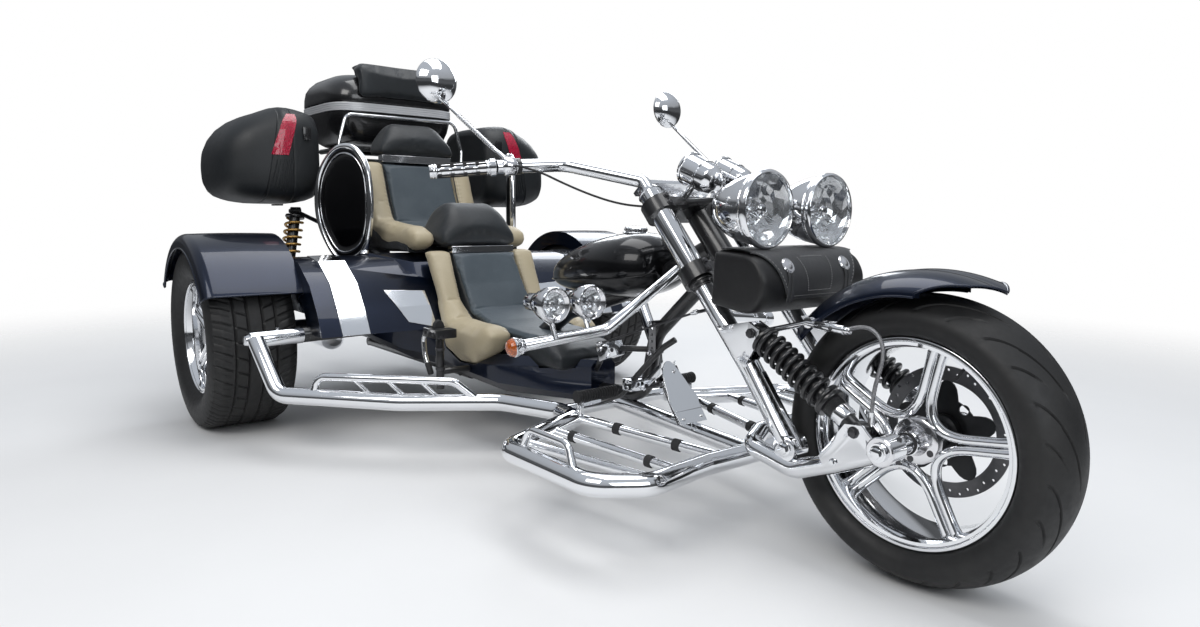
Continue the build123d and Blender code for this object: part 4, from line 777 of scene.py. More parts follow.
def twin(node, suffix, merge_flats=False):
    """New object with a CAD node's shape, its doubled points merged."""
    bm = bmesh.new()
    bm.from_mesh(frame["nodes"][node].data)
    bmesh.ops.remove_doubles(bm, verts=bm.verts, dist=0.00002)
    if merge_flats:
        bmesh.ops.dissolve_limit(bm, angle_limit=radians(0.6), verts=bm.verts, edges=bm.edges)
    mesh = bpy.data.meshes.new(node + suffix)
    bm.to_mesh(mesh)
    bm.free()
    return stand(node + suffix, mesh)


def dress(node, material, width, segments):
    """Copy of a CAD node with soft edges, in place of the plain solid."""
    source = frame["nodes"][node]
    piece = twin(node, "_dressed", merge_flats=True)
    piece.data.materials.clear()
    piece.data.materials.append(MATERIALS[material])
    edge = piece.modifiers.new("soft edges", "BEVEL")
    edge.width = width / 1000
    edge.segments = segments
    edge.limit_method = "ANGLE"
    edge.angle_limit = radians(32)
    piece.data.shade_smooth()
    piece.data.set_sharp_from_angle(angle=radians(38))
    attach(piece, source["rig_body"])
    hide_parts(node)


DRESSED = (
    # nodes, material, edge in millimetres, segments
    ("fork_legs front_link handlebar hand_grips foot_rails light_bars exhausts", "chrome", 1.2, 2),
    ("fork_clamps rear_rack rear_axle plate_holder lamp_brackets frame_tubes", "black_metal", 1.5, 2),
    ("body_tub", "navy_paint", 12, 5),
    ("polished_plates", "mirror_plate", 0.8, 2),
    ("seat_trim", "chrome", 1.2, 2),
    ("engine_block", "cast_alloy", 4, 2),
)
for nodes, material, width, segments in DRESSED:
    for node in nodes.split():
        dress(node, material, width, segments)


# Fuel tank

TANK_ROWS = (
    # station, half width, underside, top
    (-1319, 26, 585, 628), (-1312, 52, 568, 640), (-1285, 80, 556, 655), (-1235, 104, 548, 676),
    (-1180, 121, 545, 699), (-1090, 141, 543, 725), (-1000, 150, 545, 742), (-930, 150, 550, 748),
    (-886, 142, 560, 744), (-846, 120, 574, 728), (-822, 94, 590, 708), (-812, 66, 606, 692), (-809, 34, 624, 672),
)


def fuel_tank():
    """Teardrop shell with a pressed seam along its lower edge."""
    rows = []
    for x, half, low, high in TANK_ROWS:
        middle = low + (high - low) * 0.42
        row = []
        for k in range(56):
            a = 2 * pi * k / 56
            c, s = cos(a), sin(a)
            y = half * abs(c) ** 0.86 * (1 if c > 0 else -1)
            reach = high - middle if s > 0 else middle - low
            row.append(at(x, y, middle + reach * abs(s) ** 0.92 * (1 if s > 0 else -1)))
        rows.append(row)
    m = Maker()
    m.grid(rows, "black_paint", caps=True)
    m.make("tank_shell", "chassis", ["fuel_tank"], smooth=180, subdivide=2)
    seam = Maker()
    for side in SIDES:
        path = [at(x, side * (half + 0.5) * 0.985, low + (high - low) * 0.30)
                for x, half, low, high in TANK_ROWS[1:-1]]
        seam.sweep(path, 2.4, "black_paint", 10)
    seam.make("tank_seam", "chassis", smooth=60)


fuel_tank()


# Cushions

CLOTH_FRAMES = 14


def inflate(body, pressure, reach):
    """Blows an object up as cloth; each point moves by the reach in millimetres at most."""
    cloth = body.modifiers.new("cloth", "CLOTH")
    rules = cloth.settings
    rules.quality = 3
    rules.mass = 0.4
    rules.tension_stiffness = rules.compression_stiffness = 12
    rules.shear_stiffness = 6
    rules.bending_stiffness = 0.6
    rules.use_pressure = True
    rules.uniform_pressure_force = pressure
    rules.effector_weights.gravity = 0
    cloth.point_cache.frame_end = CLOTH_FRAMES
    for frame_number in range(1, CLOTH_FRAMES + 1):
        scene.frame_set(frame_number)
    blown = bpy.data.meshes.new_from_object(body.evaluated_get(bpy.context.evaluated_depsgraph_get()))
    body.modifiers.clear()
    scene.frame_set(1)
    for vertex, moved in zip(body.data.vertices, blown.vertices):
        step = moved.co - vertex.co
        far = step.length * 1000
        vertex.co = vertex.co + (step * (reach / far) if far > reach else step)


def cushion(node, material, voxel, relax, pressure, reach, shape=None):
    """Soft twin of a CAD cushion: an even skin that is eased at its corners and then blown up as cloth."""
    source = frame["nodes"][node]
    body = twin(node, "_soft")
    skin = body.modifiers.new("skin", "REMESH")
    skin.mode = "VOXEL"
    skin.voxel_size = voxel / 1000
    ease = body.modifiers.new("ease", "SMOOTH")
    ease.factor = 0.5
    ease.iterations = relax
    mesh = bpy.data.meshes.new_from_object(body.evaluated_get(bpy.context.evaluated_depsgraph_get()))
    body.modifiers.clear()
    body.data = mesh
    inflate(body, pressure, reach)
    if shape:
        normals = [v.normal.copy() for v in mesh.vertices]
        for vertex, normal in zip(mesh.vertices, normals):
            vertex.co += shape(vertex.co, normal)
    mesh.materials.clear()
    mesh.materials.append(MATERIALS[material])
    fine = body.modifiers.new("fine", "SUBSURF")
    fine.levels = fine.render_levels = 1
    lean = body.modifiers.new("lean", "DECIMATE")
    lean.ratio = 0.42
    mesh.shade_smooth()
    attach(body, source["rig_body"])
    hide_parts(node)
    return body


def along_run(run, x, z):
    """Distance along a run of side-view points to the place nearest x, z, and how far off it lies (millimetres)."""
    best, total = (1e9, 0), 0
    for (ax, az), (bx, bz) in zip(run, run[1:]):
        length = hypot(bx - ax, bz - az)
        t = max(0, min(1, ((x - ax) * (bx - ax) + (z - az) * (bz - az)) / length ** 2))
        off = hypot(ax + (bx - ax) * t - x, az + (bz - az) * t - z)
        best = min(best, (off, total + t * length))
        total += length
    return best[1], best[0]


RIDER_RUN = [(-1872, 648), (-1800, 520), (-1730, 425), (-1600, 385), (-1420, 372)]
PASSENGER_RUN = [(-2440, 1012), (-2380, 850), (-2330, 740), (-2150, 700)]


def gathers(place, normal):
    """Full, round toes, and small gathers where the leather is drawn to the seam beside the centre panel."""
    x, y, z = place.x * 1000 - SHIFT, abs(place.y * 1000), place.z * 1000
    rear = z > 600 and x < -1900
    toe = (-1990, 212, 700) if rear else (-1482, 192, 366)
    outward = normal.y * (1 if place.y > 0 else -1) > -0.2
    swell = 0.010 * max(0, 1 - (hypot(x - toe[0], y - toe[1], z - toe[2]) / 90) ** 2) ** 2 if outward else 0
    seam, run = (165, PASSENGER_RUN) if rear else (140, RIDER_RUN)
    near = max(0, 1 - abs(y - seam - 10) / 22)
    along, off = along_run(run, x, z)
    if off > 70:
        near = 0
    wave = sin(along / 19 * 2 * pi)
    return normal * (swell + near * 0.0016 * wave)


def domed(place, normal):
    """Rounds off the upper corners of the head and lumbar cushions, which spread toward their base."""
    y, z = place.y * 1000, place.z * 1000
    low, high, half = (1046, 1190, 178) if z > 1000 else (672, 846, 168)
    rise = max(0, min(1, (z - low) / (high - low)))
    far = max(0, (abs(y) - 70) / (half - 70))
    spread = 0.006 * (1 - rise) * (1 if y > 0 else -1) * min(1, abs(y) / half)
    return Vector((0, spread - 0.00022 * y * rise ** 2 * min(1, far), -0.062 * far ** 2.2 * rise))


bolsters = cushion("seat_bolsters", "cream_leather", 8, 26, 5.0, 11, gathers)
cushion("headrests", "black_leather", 8, 30, 4.0, 10, domed)
for seat in ("rider_seat", "passenger_seat"):
    cushion(seat, "black_leather", 10, 10, 3.0, 7)
cushion("seat_panels", "grey_leather", 7, 6, 3.5, 8)
cushion("top_case_pad", "black_leather", 8, 40, 4.5, 10)


def seams():
    """Piping and a row of stitches where the bolsters meet the panels."""
    skin = BVHTree.FromObject(bolsters, bpy.context.evaluated_depsgraph_get())
    thread, piping = Maker(), Maker()
    for run, seam in ((RIDER_RUN, 140), (PASSENGER_RUN, 165)):
        spots = []
        for (ax, az), (bx, bz) in zip(run, run[1:]):
            steps = max(1, round(hypot(bx - ax, bz - az) / 9))
            spots += [(ax + (bx - ax) * k / steps, az + (bz - az) * k / steps) for k in range(steps)]
        spots = spots[3:]
        eased = [(sum(x for x, z in part) / len(part), sum(z for x, z in part) / len(part))
                 for part in (spots[max(0, i - 4):i + 5] for i in range(len(spots)))]
        for side in SIDES:
            # Distance from the seam and radius: the stitches, whose thread has its own radius, then the piping
            for inset, radius in ((13, 0), (2.5, 2.6)):
                path = []
                for i, (x, z) in enumerate(eased):
                    (px, pz), (qx, qz) = eased[max(0, i - 1)], eased[min(len(eased) - 1, i + 1)]
                    out = Vector((pz - qz, 0, qx - px)).normalized()
                    hit = skin.ray_cast(at(x, side * (seam + inset), z) + out * 0.09, -out, 0.16)[0]
                    if hit:
                        path.append(hit + out * 0.0006)
                if radius and len(path) > 3:
                    piping.sweep(path, radius, "black_leather", 8)
                elif len(path) > 3:
                    for a, b in zip(path, path[1:]):
                        if (b - a).length < 0.02:
                            thread.rod(a + (b - a) * 0.2, a + (b - a) * 0.75, 0.8, "pale_thread", 6)
    thread.make("bolster_stitches", "chassis", smooth=60)
    piping.make("bolster_piping", "chassis", smooth=60)


seams()


# Fork details

SHOCK_TOP, SHOCK_EYE, LINK_Y = (-351, 524), (-65, 347), 150
LAMP_X, LAMP_Y, LAMP_Z = -358, 122, 815


def bolt(maker, centre, direction, size, height=None, material="dark_steel"):
    """Hexagon head on a round washer; size is the radius to its corners in millimetres."""
    height = height or size * 0.75
    washer = [(0, 0), (0, size * 1.3), (1.4, size * 1.3), (1.8, size * 1.2), (1.8, 0)]
    head = [(1.8, size), (height, size), (height + 0.8, size * 0.84), (height + 0.8, 0)]
    maker.lathe(centre, direction, washer, material, 24)
    maker.lathe(centre, direction, head, material, 6)


def dome_nut(maker, centre, direction, size, material="chrome"):
    """Domed nut on a washer."""
    maker.lathe(centre, direction, [(0, size * 1.3), (1.6, size * 1.3), (2, size * 1.2), (2, 0)], material, 24)
    maker.lathe(centre, direction, [(2, size), (size * 0.7, size), (size * 0.8, size * 0.9)], material, 6)
    rise = [(size * (0.8 + 0.8 * sin(a)), size * 0.88 * cos(a)) for a in (0, 0.3, 0.6, 0.9, 1.2, 1.45, pi / 2)]
    maker.lathe(centre, direction, rise, material, 24)


def helix(maker, start, axis, radius, wire, turns, begin, end, material):
    """Coil spring with closed ends, from one distance along the axis to another."""
    axis = axis.normalized()
    side, other = square_to(axis)
    count = int(turns * 22)
    path = []
    for k in range(count + 1):
        t = k / count
        turn = t * turns
        closed = min(turn, turns - turn, 1)
        rise = (begin + (end - begin) * t) + (1 - closed) * (wire * 0.9 if t > 0.5 else -wire * 0.9)
        a = 2 * pi * turn
        path.append(start + axis * (rise / 1000) + (side * cos(a) + other * sin(a)) * (radius / 1000))
    maker.sweep(path, wire, material, 12)


def front_shocks():
    m = Maker()
    ends = [(10, 12), (14, 17), (20, 19), (24, 30), (25, 36), (31, 36.5), (33, 35), (33, 22),
            (242, 21), (243, 34), (244, 36.5), (250, 36.5), (252, 35), (253, 26)]
    bush = [(0, 16), (0.8, 18.6), (2, 20), (27, 20), (28.2, 18.6), (29, 16)]
    for side in SIDES:
        top = at(SHOCK_TOP[0], side * LINK_Y, SHOCK_TOP[1])
        eye = at(SHOCK_EYE[0], side * LINK_Y, SHOCK_EYE[1])
        axis = eye - top
        m.lathe(top, axis, ends, "black_metal", 40)
        for along in (252 + k * 1.6 for k in range(14)):
            m.lathe(top, axis, [(along, 25), (along + 0.8, 25.8), (along + 1.6, 25)], "black_metal", 32)
        helix(m, top, axis, 31, 6, 9.5, 38, 237, "black_metal")
        m.lathe(top, axis, [(252, 23), (276, 23), (277, 25), (300, 25), (302, 24), (303, 20)], "chrome", 40)
        m.lathe(top, axis, [(300, 20), (304, 20), (308, 17), (326, 15), (330, 12)], "black_metal", 32)
        for centre in (top, eye):
            m.lathe(centre - LEFT * 0.0145, LEFT, bush, "black_metal", 32)
            m.lathe(centre - LEFT * 0.01537, LEFT, collar(0, 30.7, 9, 11.5, 0.4), "dark_steel", 24)
    m.make("front_shock_units", "fork", ["front_shocks"], smooth=42)


def spoke(turn):
    """Direction across a lamp that looks ahead, turned up from the left by an angle in degrees."""
    return LEFT * cos(radians(turn)) + UP * sin(radians(turn))


def headlamp_shell(face, name):
    """Teardrop bucket with a stepped polished bezel, from the tail forward."""
    tail = [(-165, 0), (-164, 9), (-160, 19), (-152, 31), (-140, 43), (-124, 55), (-104, 66), (-80, 75.5), (-54, 82.5),
            (-32, 86.5), (-19, 88), (-18, 89.6), (-16, 90.4), (-14, 89.6), (-13.4, 88.6), (-12.6, 90), (-10, 92.4)]
    bezel = [(-6, 94), (-1, 94.8), (4, 94.4), (8, 92.4), (10, 89.6), (9.4, 87.4), (6, 86), (0, 85.4)]
    boot = [(0, 22), (3, 24), (8, 24), (10, 21), (22, 19), (30, 15)]
    m = Maker()
    m.lathe(face, AHEAD, tail + bezel, "chrome", 72, caps=False)
    m.lathe(face - AHEAD * 0.150, -AHEAD, boot, "rubber", 32)
    for turn in (60, 180, 300):
        screw = face + spoke(turn) * 0.0905
        m.rod(screw - AHEAD * 0.008, screw + AHEAD * 0.0085, 2.4, "dark_steel", 12)
    m.make(f"headlamp_shell_{name}", "fork", ["headlamps"], smooth=30)


def headlamp_bowl(face, name):
    """Reflector of rings of flat cells, each tipped its own way, with a raised bar to both sides."""
    rings, count = 7, 20
    rows = []
    for i in range(rings + 1):
        share = 0.24 + 0.76 * i / rings
        row = []
        for k in range(count):
            a = 2 * pi * (k + 0.5 * (i % 2)) / count
            lift = -58 + 58 * share ** 2 + 2.6 * sin(3.1 * k + 1.7 * i)
            if abs(sin(a)) < 0.34 and share < 0.95:
                lift += 4
            row.append(face + Vector((min(lift, 0.5), 85.4 * share * cos(a), 85.4 * share * sin(a))) / 1000)
        rows.append(row)
    m = Maker()
    m.grid(rows, "reflector")
    m.make(f"headlamp_reflector_{name}", "fork", smooth=4)


def headlamp_bulb(face, name):
    """Shaded bulb on three arms."""
    shade = [(-60, 24), (-50, 23), (-48, 15), (-34, 14), (-33, 17), (-18, 17), (-12, 14), (-9, 8), (-8, 0)]
    m = Maker()
    m.lathe(face, AHEAD, shade, "chrome", 32)
    for turn in (90, 210, 330):
        out = spoke(turn)
        m.rod(face - AHEAD * 0.030 + out * 0.014, face - AHEAD * 0.018 + out * 0.058, 2.2, "chrome", 10)
    m.make(f"headlamp_bulb_{name}", "fork", smooth=40)


def headlamp_glass(face, name):
    """Domed lens of even thickness."""
    dome = [(2 + 12 * (1 - (r / 86) ** 2), r) for r in (86, 80, 70, 58, 44, 28, 12, 0)]
    m = Maker()
    m.lathe(face, AHEAD, dome + [(along - 2.6, r) for along, r in dome[-2::-1]], "glass", 64)
    m.make(f"headlamp_glass_{name}", "fork", ["headlamp_lenses"], smooth=60)


def headlamps():
    for side, name in NAMED_SIDES:
        for part in (headlamp_shell, headlamp_bowl, headlamp_bulb, headlamp_glass):
            part(at(LAMP_X, side * LAMP_Y, LAMP_Z), name)


def gauge_pods():
    m = Maker()
    for side, radius in ((-1, 43), (1, 38)):
        centre = at(-632, side * 62, 908)
        dial = Vector((-0.93, 0, 0.36)).normalized()
        cup = ((-60, -20), (-59, -17), (-52, -13), (-47, -8), (-44, -6), (-40, -5), (-16, -2.4), (-15, -0.6), (-12, 0),
               (-9, -0.6), (-8, -2), (30, -0.6), (38, -0.4), (39, 2), (41, 3.6), (46, 3.6), (48, 2), (47.4, -4),
               (42, -5), (39, -5))
        m.lathe(centre, dial, [(along, radius + more) for along, more in cup], "chrome", 56)
        place = centre + dial * 0.0395
        m.lathe(place, dial, [(0, radius - 5), (0.5, radius - 5.2), (0.5, 0)], "dial", 48)
        up = (UP - dial * dial.z).normalized()
        across = dial.cross(up)
        for k in range(25):
            a = radians(-130 + k * 260 / 24)
            out = up * cos(a) + across * sin(a)
            long = 0.007 if k % 4 == 0 else 0.004
            tip = place + dial * 0.0009 + out * (radius / 1000 - 0.0078)
            m.rod(tip, tip - out * long, 0.5, "pale_thread", 6)
        a = radians(-62)
        hand = up * cos(a) + across * sin(a)
        m.rod(place + dial * 0.002 - hand * 0.006, place + dial * 0.002 + hand * (radius / 1000 - 0.013), 0.9,
              "red_lens", 8, 0.4)
        m.lathe(place, dial, [(0.5, 4), (3, 4), (3.6, 3), (3.6, 0)], "black_metal", 20)
        m.lathe(place, dial, [(4, radius - 5), (5.4, radius - 12), (6.2, radius - 24), (6.4, 0), (4.9, 0),
                              (4.6, radius - 24), (3.6, radius - 12), (2.6, radius - 5)], "glass", 40)
        foot = on_fork(0, side * 62, 222 + 44 * 0.35)
        m.rod(centre, foot, 10, "chrome", 20)
        bolt(m, centre - dial * 0.0595, -dial, 5)
    m.make("gauge_cups", "fork", ["gauge_pods"], smooth=34)


def grip_ends(side):
    """Inner and outer end of a grip."""
    return at(-1028, side * 455, 925), at(-1105, side * 612, 909)


def mirrors():
    for side, name in NAMED_SIDES:
        start, end = grip_ends(side)
        foot = start + (start - end).normalized() * 0.030
        run = (end - start).normalized()
        m = Maker()
        m.rod(foot - run * 0.009, foot + run * 0.009, 26.5, "chrome", 40, edge=2)
        dome_nut(m, foot + Vector((0.004, 0, 0.024)), (0.3, 0, 1), 7)
        head = at(-1322, side * 474, 1188)
        neck = head + Vector((0.004, 0, -0.046))
        base = foot + Vector((-0.004, 0, 0.016))
        m.rod(base, base + (neck - base) * 0.12, 9, "chrome", 24, 7)
        m.rod(base, neck, 6.2, "chrome", 20, 5)
        stem = (neck - base).normalized()
        length = (neck - base).length
        for k in range(22):
            here = base + stem * (length * (0.16 + 0.025 * k))
            m.lathe(here, stem, [(-2.2, 5.4), (-1, 6.9), (1, 6.9), (2.2, 5.4)], "chrome", 16)
        ahead = Vector((1, 0, 0.08)).normalized()
        centre = head - Vector((0.004, 0, 0))
        m.lathe(centre, ahead, [
            (-8, 58), (-8.4, 62), (-7, 65.4), (-3, 66), (0, 65.4), (4, 63.6), (10, 59), (17, 51.5), (24, 42),
            (29.5, 31), (33, 18), (34, 0),
        ], "chrome", 56)
        m.rod(neck, centre + ahead * 0.012 - Vector((0, 0, 0.03)), 7, "chrome", 20, 9)
        m.make(f"mirror_shell_{name}", "fork", ["mirrors"], smooth=40)
        g = Maker()
        g.lathe(centre, -ahead, [(7.2, 60), (7.6, 59.4), (7.9, 40), (8.0, 0), (6.4, 0), (6.4, 60)], "mirror_plate", 56)
        g.make(f"mirror_glass_{name}", "fork", smooth=40)


ROLL_X, ROLL_Z, FLAP_HALF = -372, 642, 196
# Side view about the roll's middle: its round front from below to the top, and the flap's path down over it
ROLL_FRONT = arc((10, -76), (82, -4), (20, 74), 26)
FLAP_PATH = [(-84, 78), (-40, 77.5), (0, 76.5)] + [p for p in reversed(ROLL_FRONT) if p[1] > -44]
FLAP_REACH = list(accumulate((hypot(b[0] - a[0], b[1] - a[1]) for a, b in zip(FLAP_PATH, FLAP_PATH[1:])), initial=0))


def roll_body():
    """Roll with slack leather: its side view, smaller and dented toward the ends."""
    corners = [(-92, -60)] + ROLL_FRONT + [(-84, 78)]
    section = []
    for a, b in zip(corners, corners[1:] + corners[:1]):
        steps = max(1, round(hypot(b[0] - a[0], b[1] - a[1]) / 11))
        section += [(a[0] + (b[0] - a[0]) * k / steps, a[1] + (b[1] - a[1]) * k / steps) for k in range(steps)]
    half = ((205, 0.80), (203, 0.88), (198, 0.94), (188, 0.975), (170, 0.99), (110, 1.0), (40, 0.99))
    rows = []
    for y, size in [(-y, size) for y, size in half] + list(reversed(half)):
        row = []
        for i, (u, w) in enumerate(section):
            full = size * (0.99 - 0.016 * sin(y / 31 + i * 0.4) ** 2)
            row.append(at(ROLL_X + u * full, y, ROLL_Z + w * full))
        rows.append(row)
    m = Maker()
    m.grid(rows, "bag_leather", caps=True)
    roll = m.make("leather_roll", "fork", ["tool_roll"], smooth=180, subdivide=1)


def on_roll(along, y, lift):
    """Point over the roll's skin, at a distance along the flap's path and across the roll."""
    along = min(along, FLAP_REACH[-1] - 0.01)
    k = max(i for i, r in enumerate(FLAP_REACH) if r <= along)
    t = (along - FLAP_REACH[k]) / (FLAP_REACH[k + 1] - FLAP_REACH[k])
    (au, aw), (bu, bw) = FLAP_PATH[k], FLAP_PATH[k + 1]
    size = hypot(bu - au, bw - aw)
    return at(ROLL_X + au + (bu - au) * t - (bw - aw) / size * lift, y,
              ROLL_Z + aw + (bw - aw) * t + (bu - au) / size * lift)


def flap_end(y):
    """How far the flap reaches at a place across the roll: its edge swings up toward both ends."""
    full = FLAP_REACH[-1] - 4
    t = max(0, abs(y) / FLAP_HALF - 0.52) / 0.48
    return full - 128 * (3 * t * t - 2 * t ** 3)


def roll_flap():
    """Flap from the back edge over the top and down the front, with a rolled hem."""
    across = [FLAP_HALF * (k / 32 - 1) for k in range(65)]
    # The flap is drawn in the lighter copy of the roll's leather: painted light on the top of the roll
    m = Maker()
    for lift in (3.4, 0.6):
        rows = []
        for y in across:
            begin = 6 + 30 * max(0, (abs(y) - 178) / 18) ** 2
            rows.append([on_roll(begin + (flap_end(y) - begin) * k / 22, y, lift) for k in range(23)])
        m.grid(rows, "flap_leather", wrap_columns=False)
    m.sweep([on_roll(flap_end(y), y, 2.0) for y in across], 2.2, "flap_leather", 10)
    m.make("roll_flap", "fork", smooth=60)


def roll_stitches():
    """Seam along the hem and the sewn outline of the tool pocket."""
    m = Maker()
    for k in range(1, 86):
        y = -190 + 380 * k / 86
        m.rod(on_roll(flap_end(y) - 7, y, 3.9), on_roll(flap_end(y + 2.4) - 7, y + 2.4, 3.9), 0.65, "thread", 6)
    low, high = flap_end(0) - 18, flap_end(0) - 104
    for y in (-44, 44):
        for k in range(16):
            along, place = low - k * 5.4, y * (1 + 0.02 * k)
            m.rod(on_roll(along, place, 3.9), on_roll(along - 2.6, place, 3.9), 0.8, "thread", 6)
    for along in (low, high):
        for y in (5.1 * k - 42 for k in range(17)):
            m.rod(on_roll(along, y, 3.9), on_roll(along, y + 2.6, 3.9), 0.8, "thread", 6)
    m.make("roll_stitches", "fork", smooth=60)


def roll_strap(along, y, name):
    """Pair of thongs that hang from a stud."""
    # The thongs share the flap's lighter leather: painted light
    m = Maker()
    profile = ((-1, 0), (-0.8, 1.5), (0.8, 1.5), (1, 0), (0.8, -1), (-0.8, -1))
    for shift in (-6.5, 6.5):
        rows = []
        for k in range(17):
            lift = 5.2 + max(0, k - 10) * 0.5 + 1.2 * sin(k * 0.5)
            width = 5.2 if k < 16 else 3.2
            rows.append([on_roll(along + 4 + k * 5, y + shift + width * across, lift + up) for across, up in profile])
        m.grid(rows, "flap_leather", caps=True)
    m.make(f"roll_strap_{name}", "fork", smooth=50)


def roll_studs():
    """Two domed studs with a ring of beads, and their thongs."""
    dome = [(0, 19.5), (1.8, 20), (3.0, 18.6), (2.6, 17.2), (4.0, 15.6), (3.6, 13.4), (5.4, 9), (6.6, 5), (7.0, 0)]
    m = Maker()
    for side, name in NAMED_SIDES:
        along, y = flap_end(0) - 78, side * 112
        spot = on_roll(along, y, 3.6)
        out = (on_roll(along, y, 10) - spot).normalized()
        m.lathe(spot, out, dome, "chrome_cast", 40)
        for bead in hoop(spot, *square_to(out), 0.0179, 20):
            m.lathe(bead, out, [(1.4, 2.2), (2.8, 1.9), (3.4, 0)], "chrome_cast", 10)
        roll_strap(along, y, name)
    m.make("roll_conchos", "fork", smooth=40)


for fit in (front_shocks, headlamps, gauge_pods, mirrors, roll_body, roll_flap, roll_stitches, roll_studs):
    fit()


# Cases

CASE_WALL = 4
TOP_CASE_X = -2840
SIDE_CASE_X, SIDE_CASE_Z = -2725, 1030
CASE_HINGE_Y, CASE_HINGE_Z = 520, 826


def squircle(a, b, power, count=72):
    """Rounded oblong: a circle at power 2, squarer as the power grows."""
    loop = []
    for k in range(count):
        t = 2 * pi * (k + 0.5) / count
        c, s = cos(t), sin(t)
        loop.append((a * abs(c) ** (2 / power) * (1 if c > 0 else -1),
                     b * abs(s) ** (2 / power) * (1 if s > 0 else -1)))
    return loop


def case_row(side, station, inset=0.0):
    """Ring of points across a side case at one distance out."""
    y, dx, dz, a, b, power, slant = station
    return [at(SIDE_CASE_X + dx + u, side * (y - slant * w), SIDE_CASE_Z + dz + w)
            for u, w in squircle(a - inset, b - inset, power)]


LID_STATIONS = (
    # distance out, shift in x, shift in z, half length, half height, power, slant
    (521, 0, 0, 239, 199, 4.4, 0), (524, 0, 0, 240, 200, 4.4, 0.01), (560, 0, 0, 240, 200, 4.4, 0.1),
    (590, -1, -1, 239, 198.5, 4.3, 0.18), (593, -1, -1, 235.4, 195, 4.3, 0.18),
    (598.5, -1, -1, 234.8, 194.4, 4.3, 0.18), (602, -1, -2, 238.4, 197, 4.2, 0.18),
    (636, -3, -9, 235, 187, 3.9, 0.16), (672, -6, -15, 229, 177, 3.7, 0.13),
    (706, -10, -22, 220, 163, 3.5, 0.1), (738, -14, -32, 206, 143, 3.4, 0.07),
    (760, -19, -42, 187, 119, 3.2, 0.04), (776, -25, -50, 158, 90, 2.9, 0.02),
    (786, -29, -56, 114, 58, 2.6, 0), (789, -32, -60, 54, 25, 2.2, 0),
)
BASE_STATIONS = (
    # from the rim inward: distance out, half length, half height, power
    (519.6, 238.6, 198.6, 4.4), (518, 240, 200, 4.4), (512, 240, 200, 4.4), (480, 236, 196, 4.4),
    (440, 228, 188, 4.2), (412, 217, 178, 3.9), (403, 205, 166, 3.6), (401, 190, 152, 3.2),
)


def on_lid(side, y, w, lift):
    """Point on the front of a side case's lid, at a distance out and a height over its middle."""
    for low, high in zip(LID_STATIONS, LID_STATIONS[1:]):
        if y + w * (low[6] + high[6]) / 2 <= high[0] or high is LID_STATIONS[-1]:
            break
    t = max(0, min(1, (y + w * high[6] - low[0]) / (high[0] - low[0])))
    dx, dz, a, b, power = (low[i] + (high[i] - low[i]) * t for i in range(1, 6))
    share = min(0.985, abs(w - dz) / b)
    u = a * (1 - share ** power) ** (1 / power)
    return at(SIDE_CASE_X + dx + u + lift, side * y, SIDE_CASE_Z + w)


def case_shell(maker, stations, row, depth, material, rim=30):
    """Double skin from the open rim to the shut end; past the rim the inner skin lies deeper, on the rim's side."""
    outer = [row(s) for s in stations]
    inner = [row((s[0] + (depth if abs(s[0] - stations[0][0]) > rim else 0), *s[1:]), CASE_WALL) for s in stations]
    for skin in (outer, inner, [outer[0], inner[0]]):
        maker.grid(skin, material)
    for end in (outer[-1], inner[-1]):
        maker.shut(end, material)


def case_glow(side, name):
    """Reflector: a slanted red band let into the lid's front edge. Its lens is lighter and pinker than the tail lamps'
    red: partly real red, partly painted highlight.
    """
    rows = []
    for k in range(15):
        y_in = 540 - k * 3.4 + 10 * max(0, (k - 11) / 3) ** 2
        y_out = 608 - k * 4.4 - 10 * max(0, (k - 10) / 4) ** 2
        rows.append([on_lid(side, y_in + (y_out - y_in) * j / 6, 12 * k - 4, 2.6) for j in range(7)])
    edges = rows[0][:6] + [row[6] for row in rows] + rows[14][5::-1] + [row[0] for row in rows[13:0:-1]]
    deep = Vector((0.006, 0, 0))
    glow = Maker()
    glow.grid(rows, "pink_lens", wrap_columns=False)
    glow.grid([[p - deep for p in row] for row in rows], "pink_lens", wrap_columns=False)
    glow.grid([edges, [p - deep for p in edges]], "pink_lens")
    glow.make(f"side_case_glow_{name}", f"side_lid_{name}", [f"side_case_reflector_{name}"], smooth=40)


def side_cases():
    bases = Maker()
    for side, name in NAMED_SIDES:
        def row(station, inset=0.0):
            return case_row(side, station, inset)

        def pin(maker, *ends):
            spots = [at(SIDE_CASE_X + x, side * CASE_HINGE_Y, CASE_HINGE_Z) for x in ends]
            maker.rod(*spots, 3.5, "dark_steel", 16)

        lid = Maker()
        case_shell(lid, LID_STATIONS, row, -CASE_WALL, "matte_case", rim=0)
        # Ribs on the lower part of the front edge, below the reflector
        for k in range(6):
            path = [on_lid(side, 520 + k * 13 + j * 2.2, -22 - j * (11 - k * 0.5), 0.8) for j in range(13)]
            lid.sweep(path, 2.6, "matte_case", 10)
        pin(lid, -38, 38)
        lid.make(f"side_case_dome_{name}", f"side_lid_{name}", [f"side_case_lid_{name}"], smooth=50)

        stations = [(y, 0, 0, a, b, power, 0) for y, a, b, power in BASE_STATIONS]
        case_shell(bases, stations, row, CASE_WALL, "matte_case")
        pin(bases, -72, -39)
        pin(bases, 39, 72)
        # Lock on the rim above the reflector
        bases.box(at(SIDE_CASE_X + 237, side * 462, 1118), (8, 32, 54), "gloss_case", edge=3)
        case_glow(side, name)
    bases.make("side_case_shells", "chassis", ["side_case_bases"], smooth=50)


def plan_row(station, inset=0.0):
    """Ring of points round the top case at one height."""
    z, dx, a, b, power = station
    return [at(TOP_CASE_X + dx + u, v, z) for u, v in squircle(a - inset, b - inset, power)]


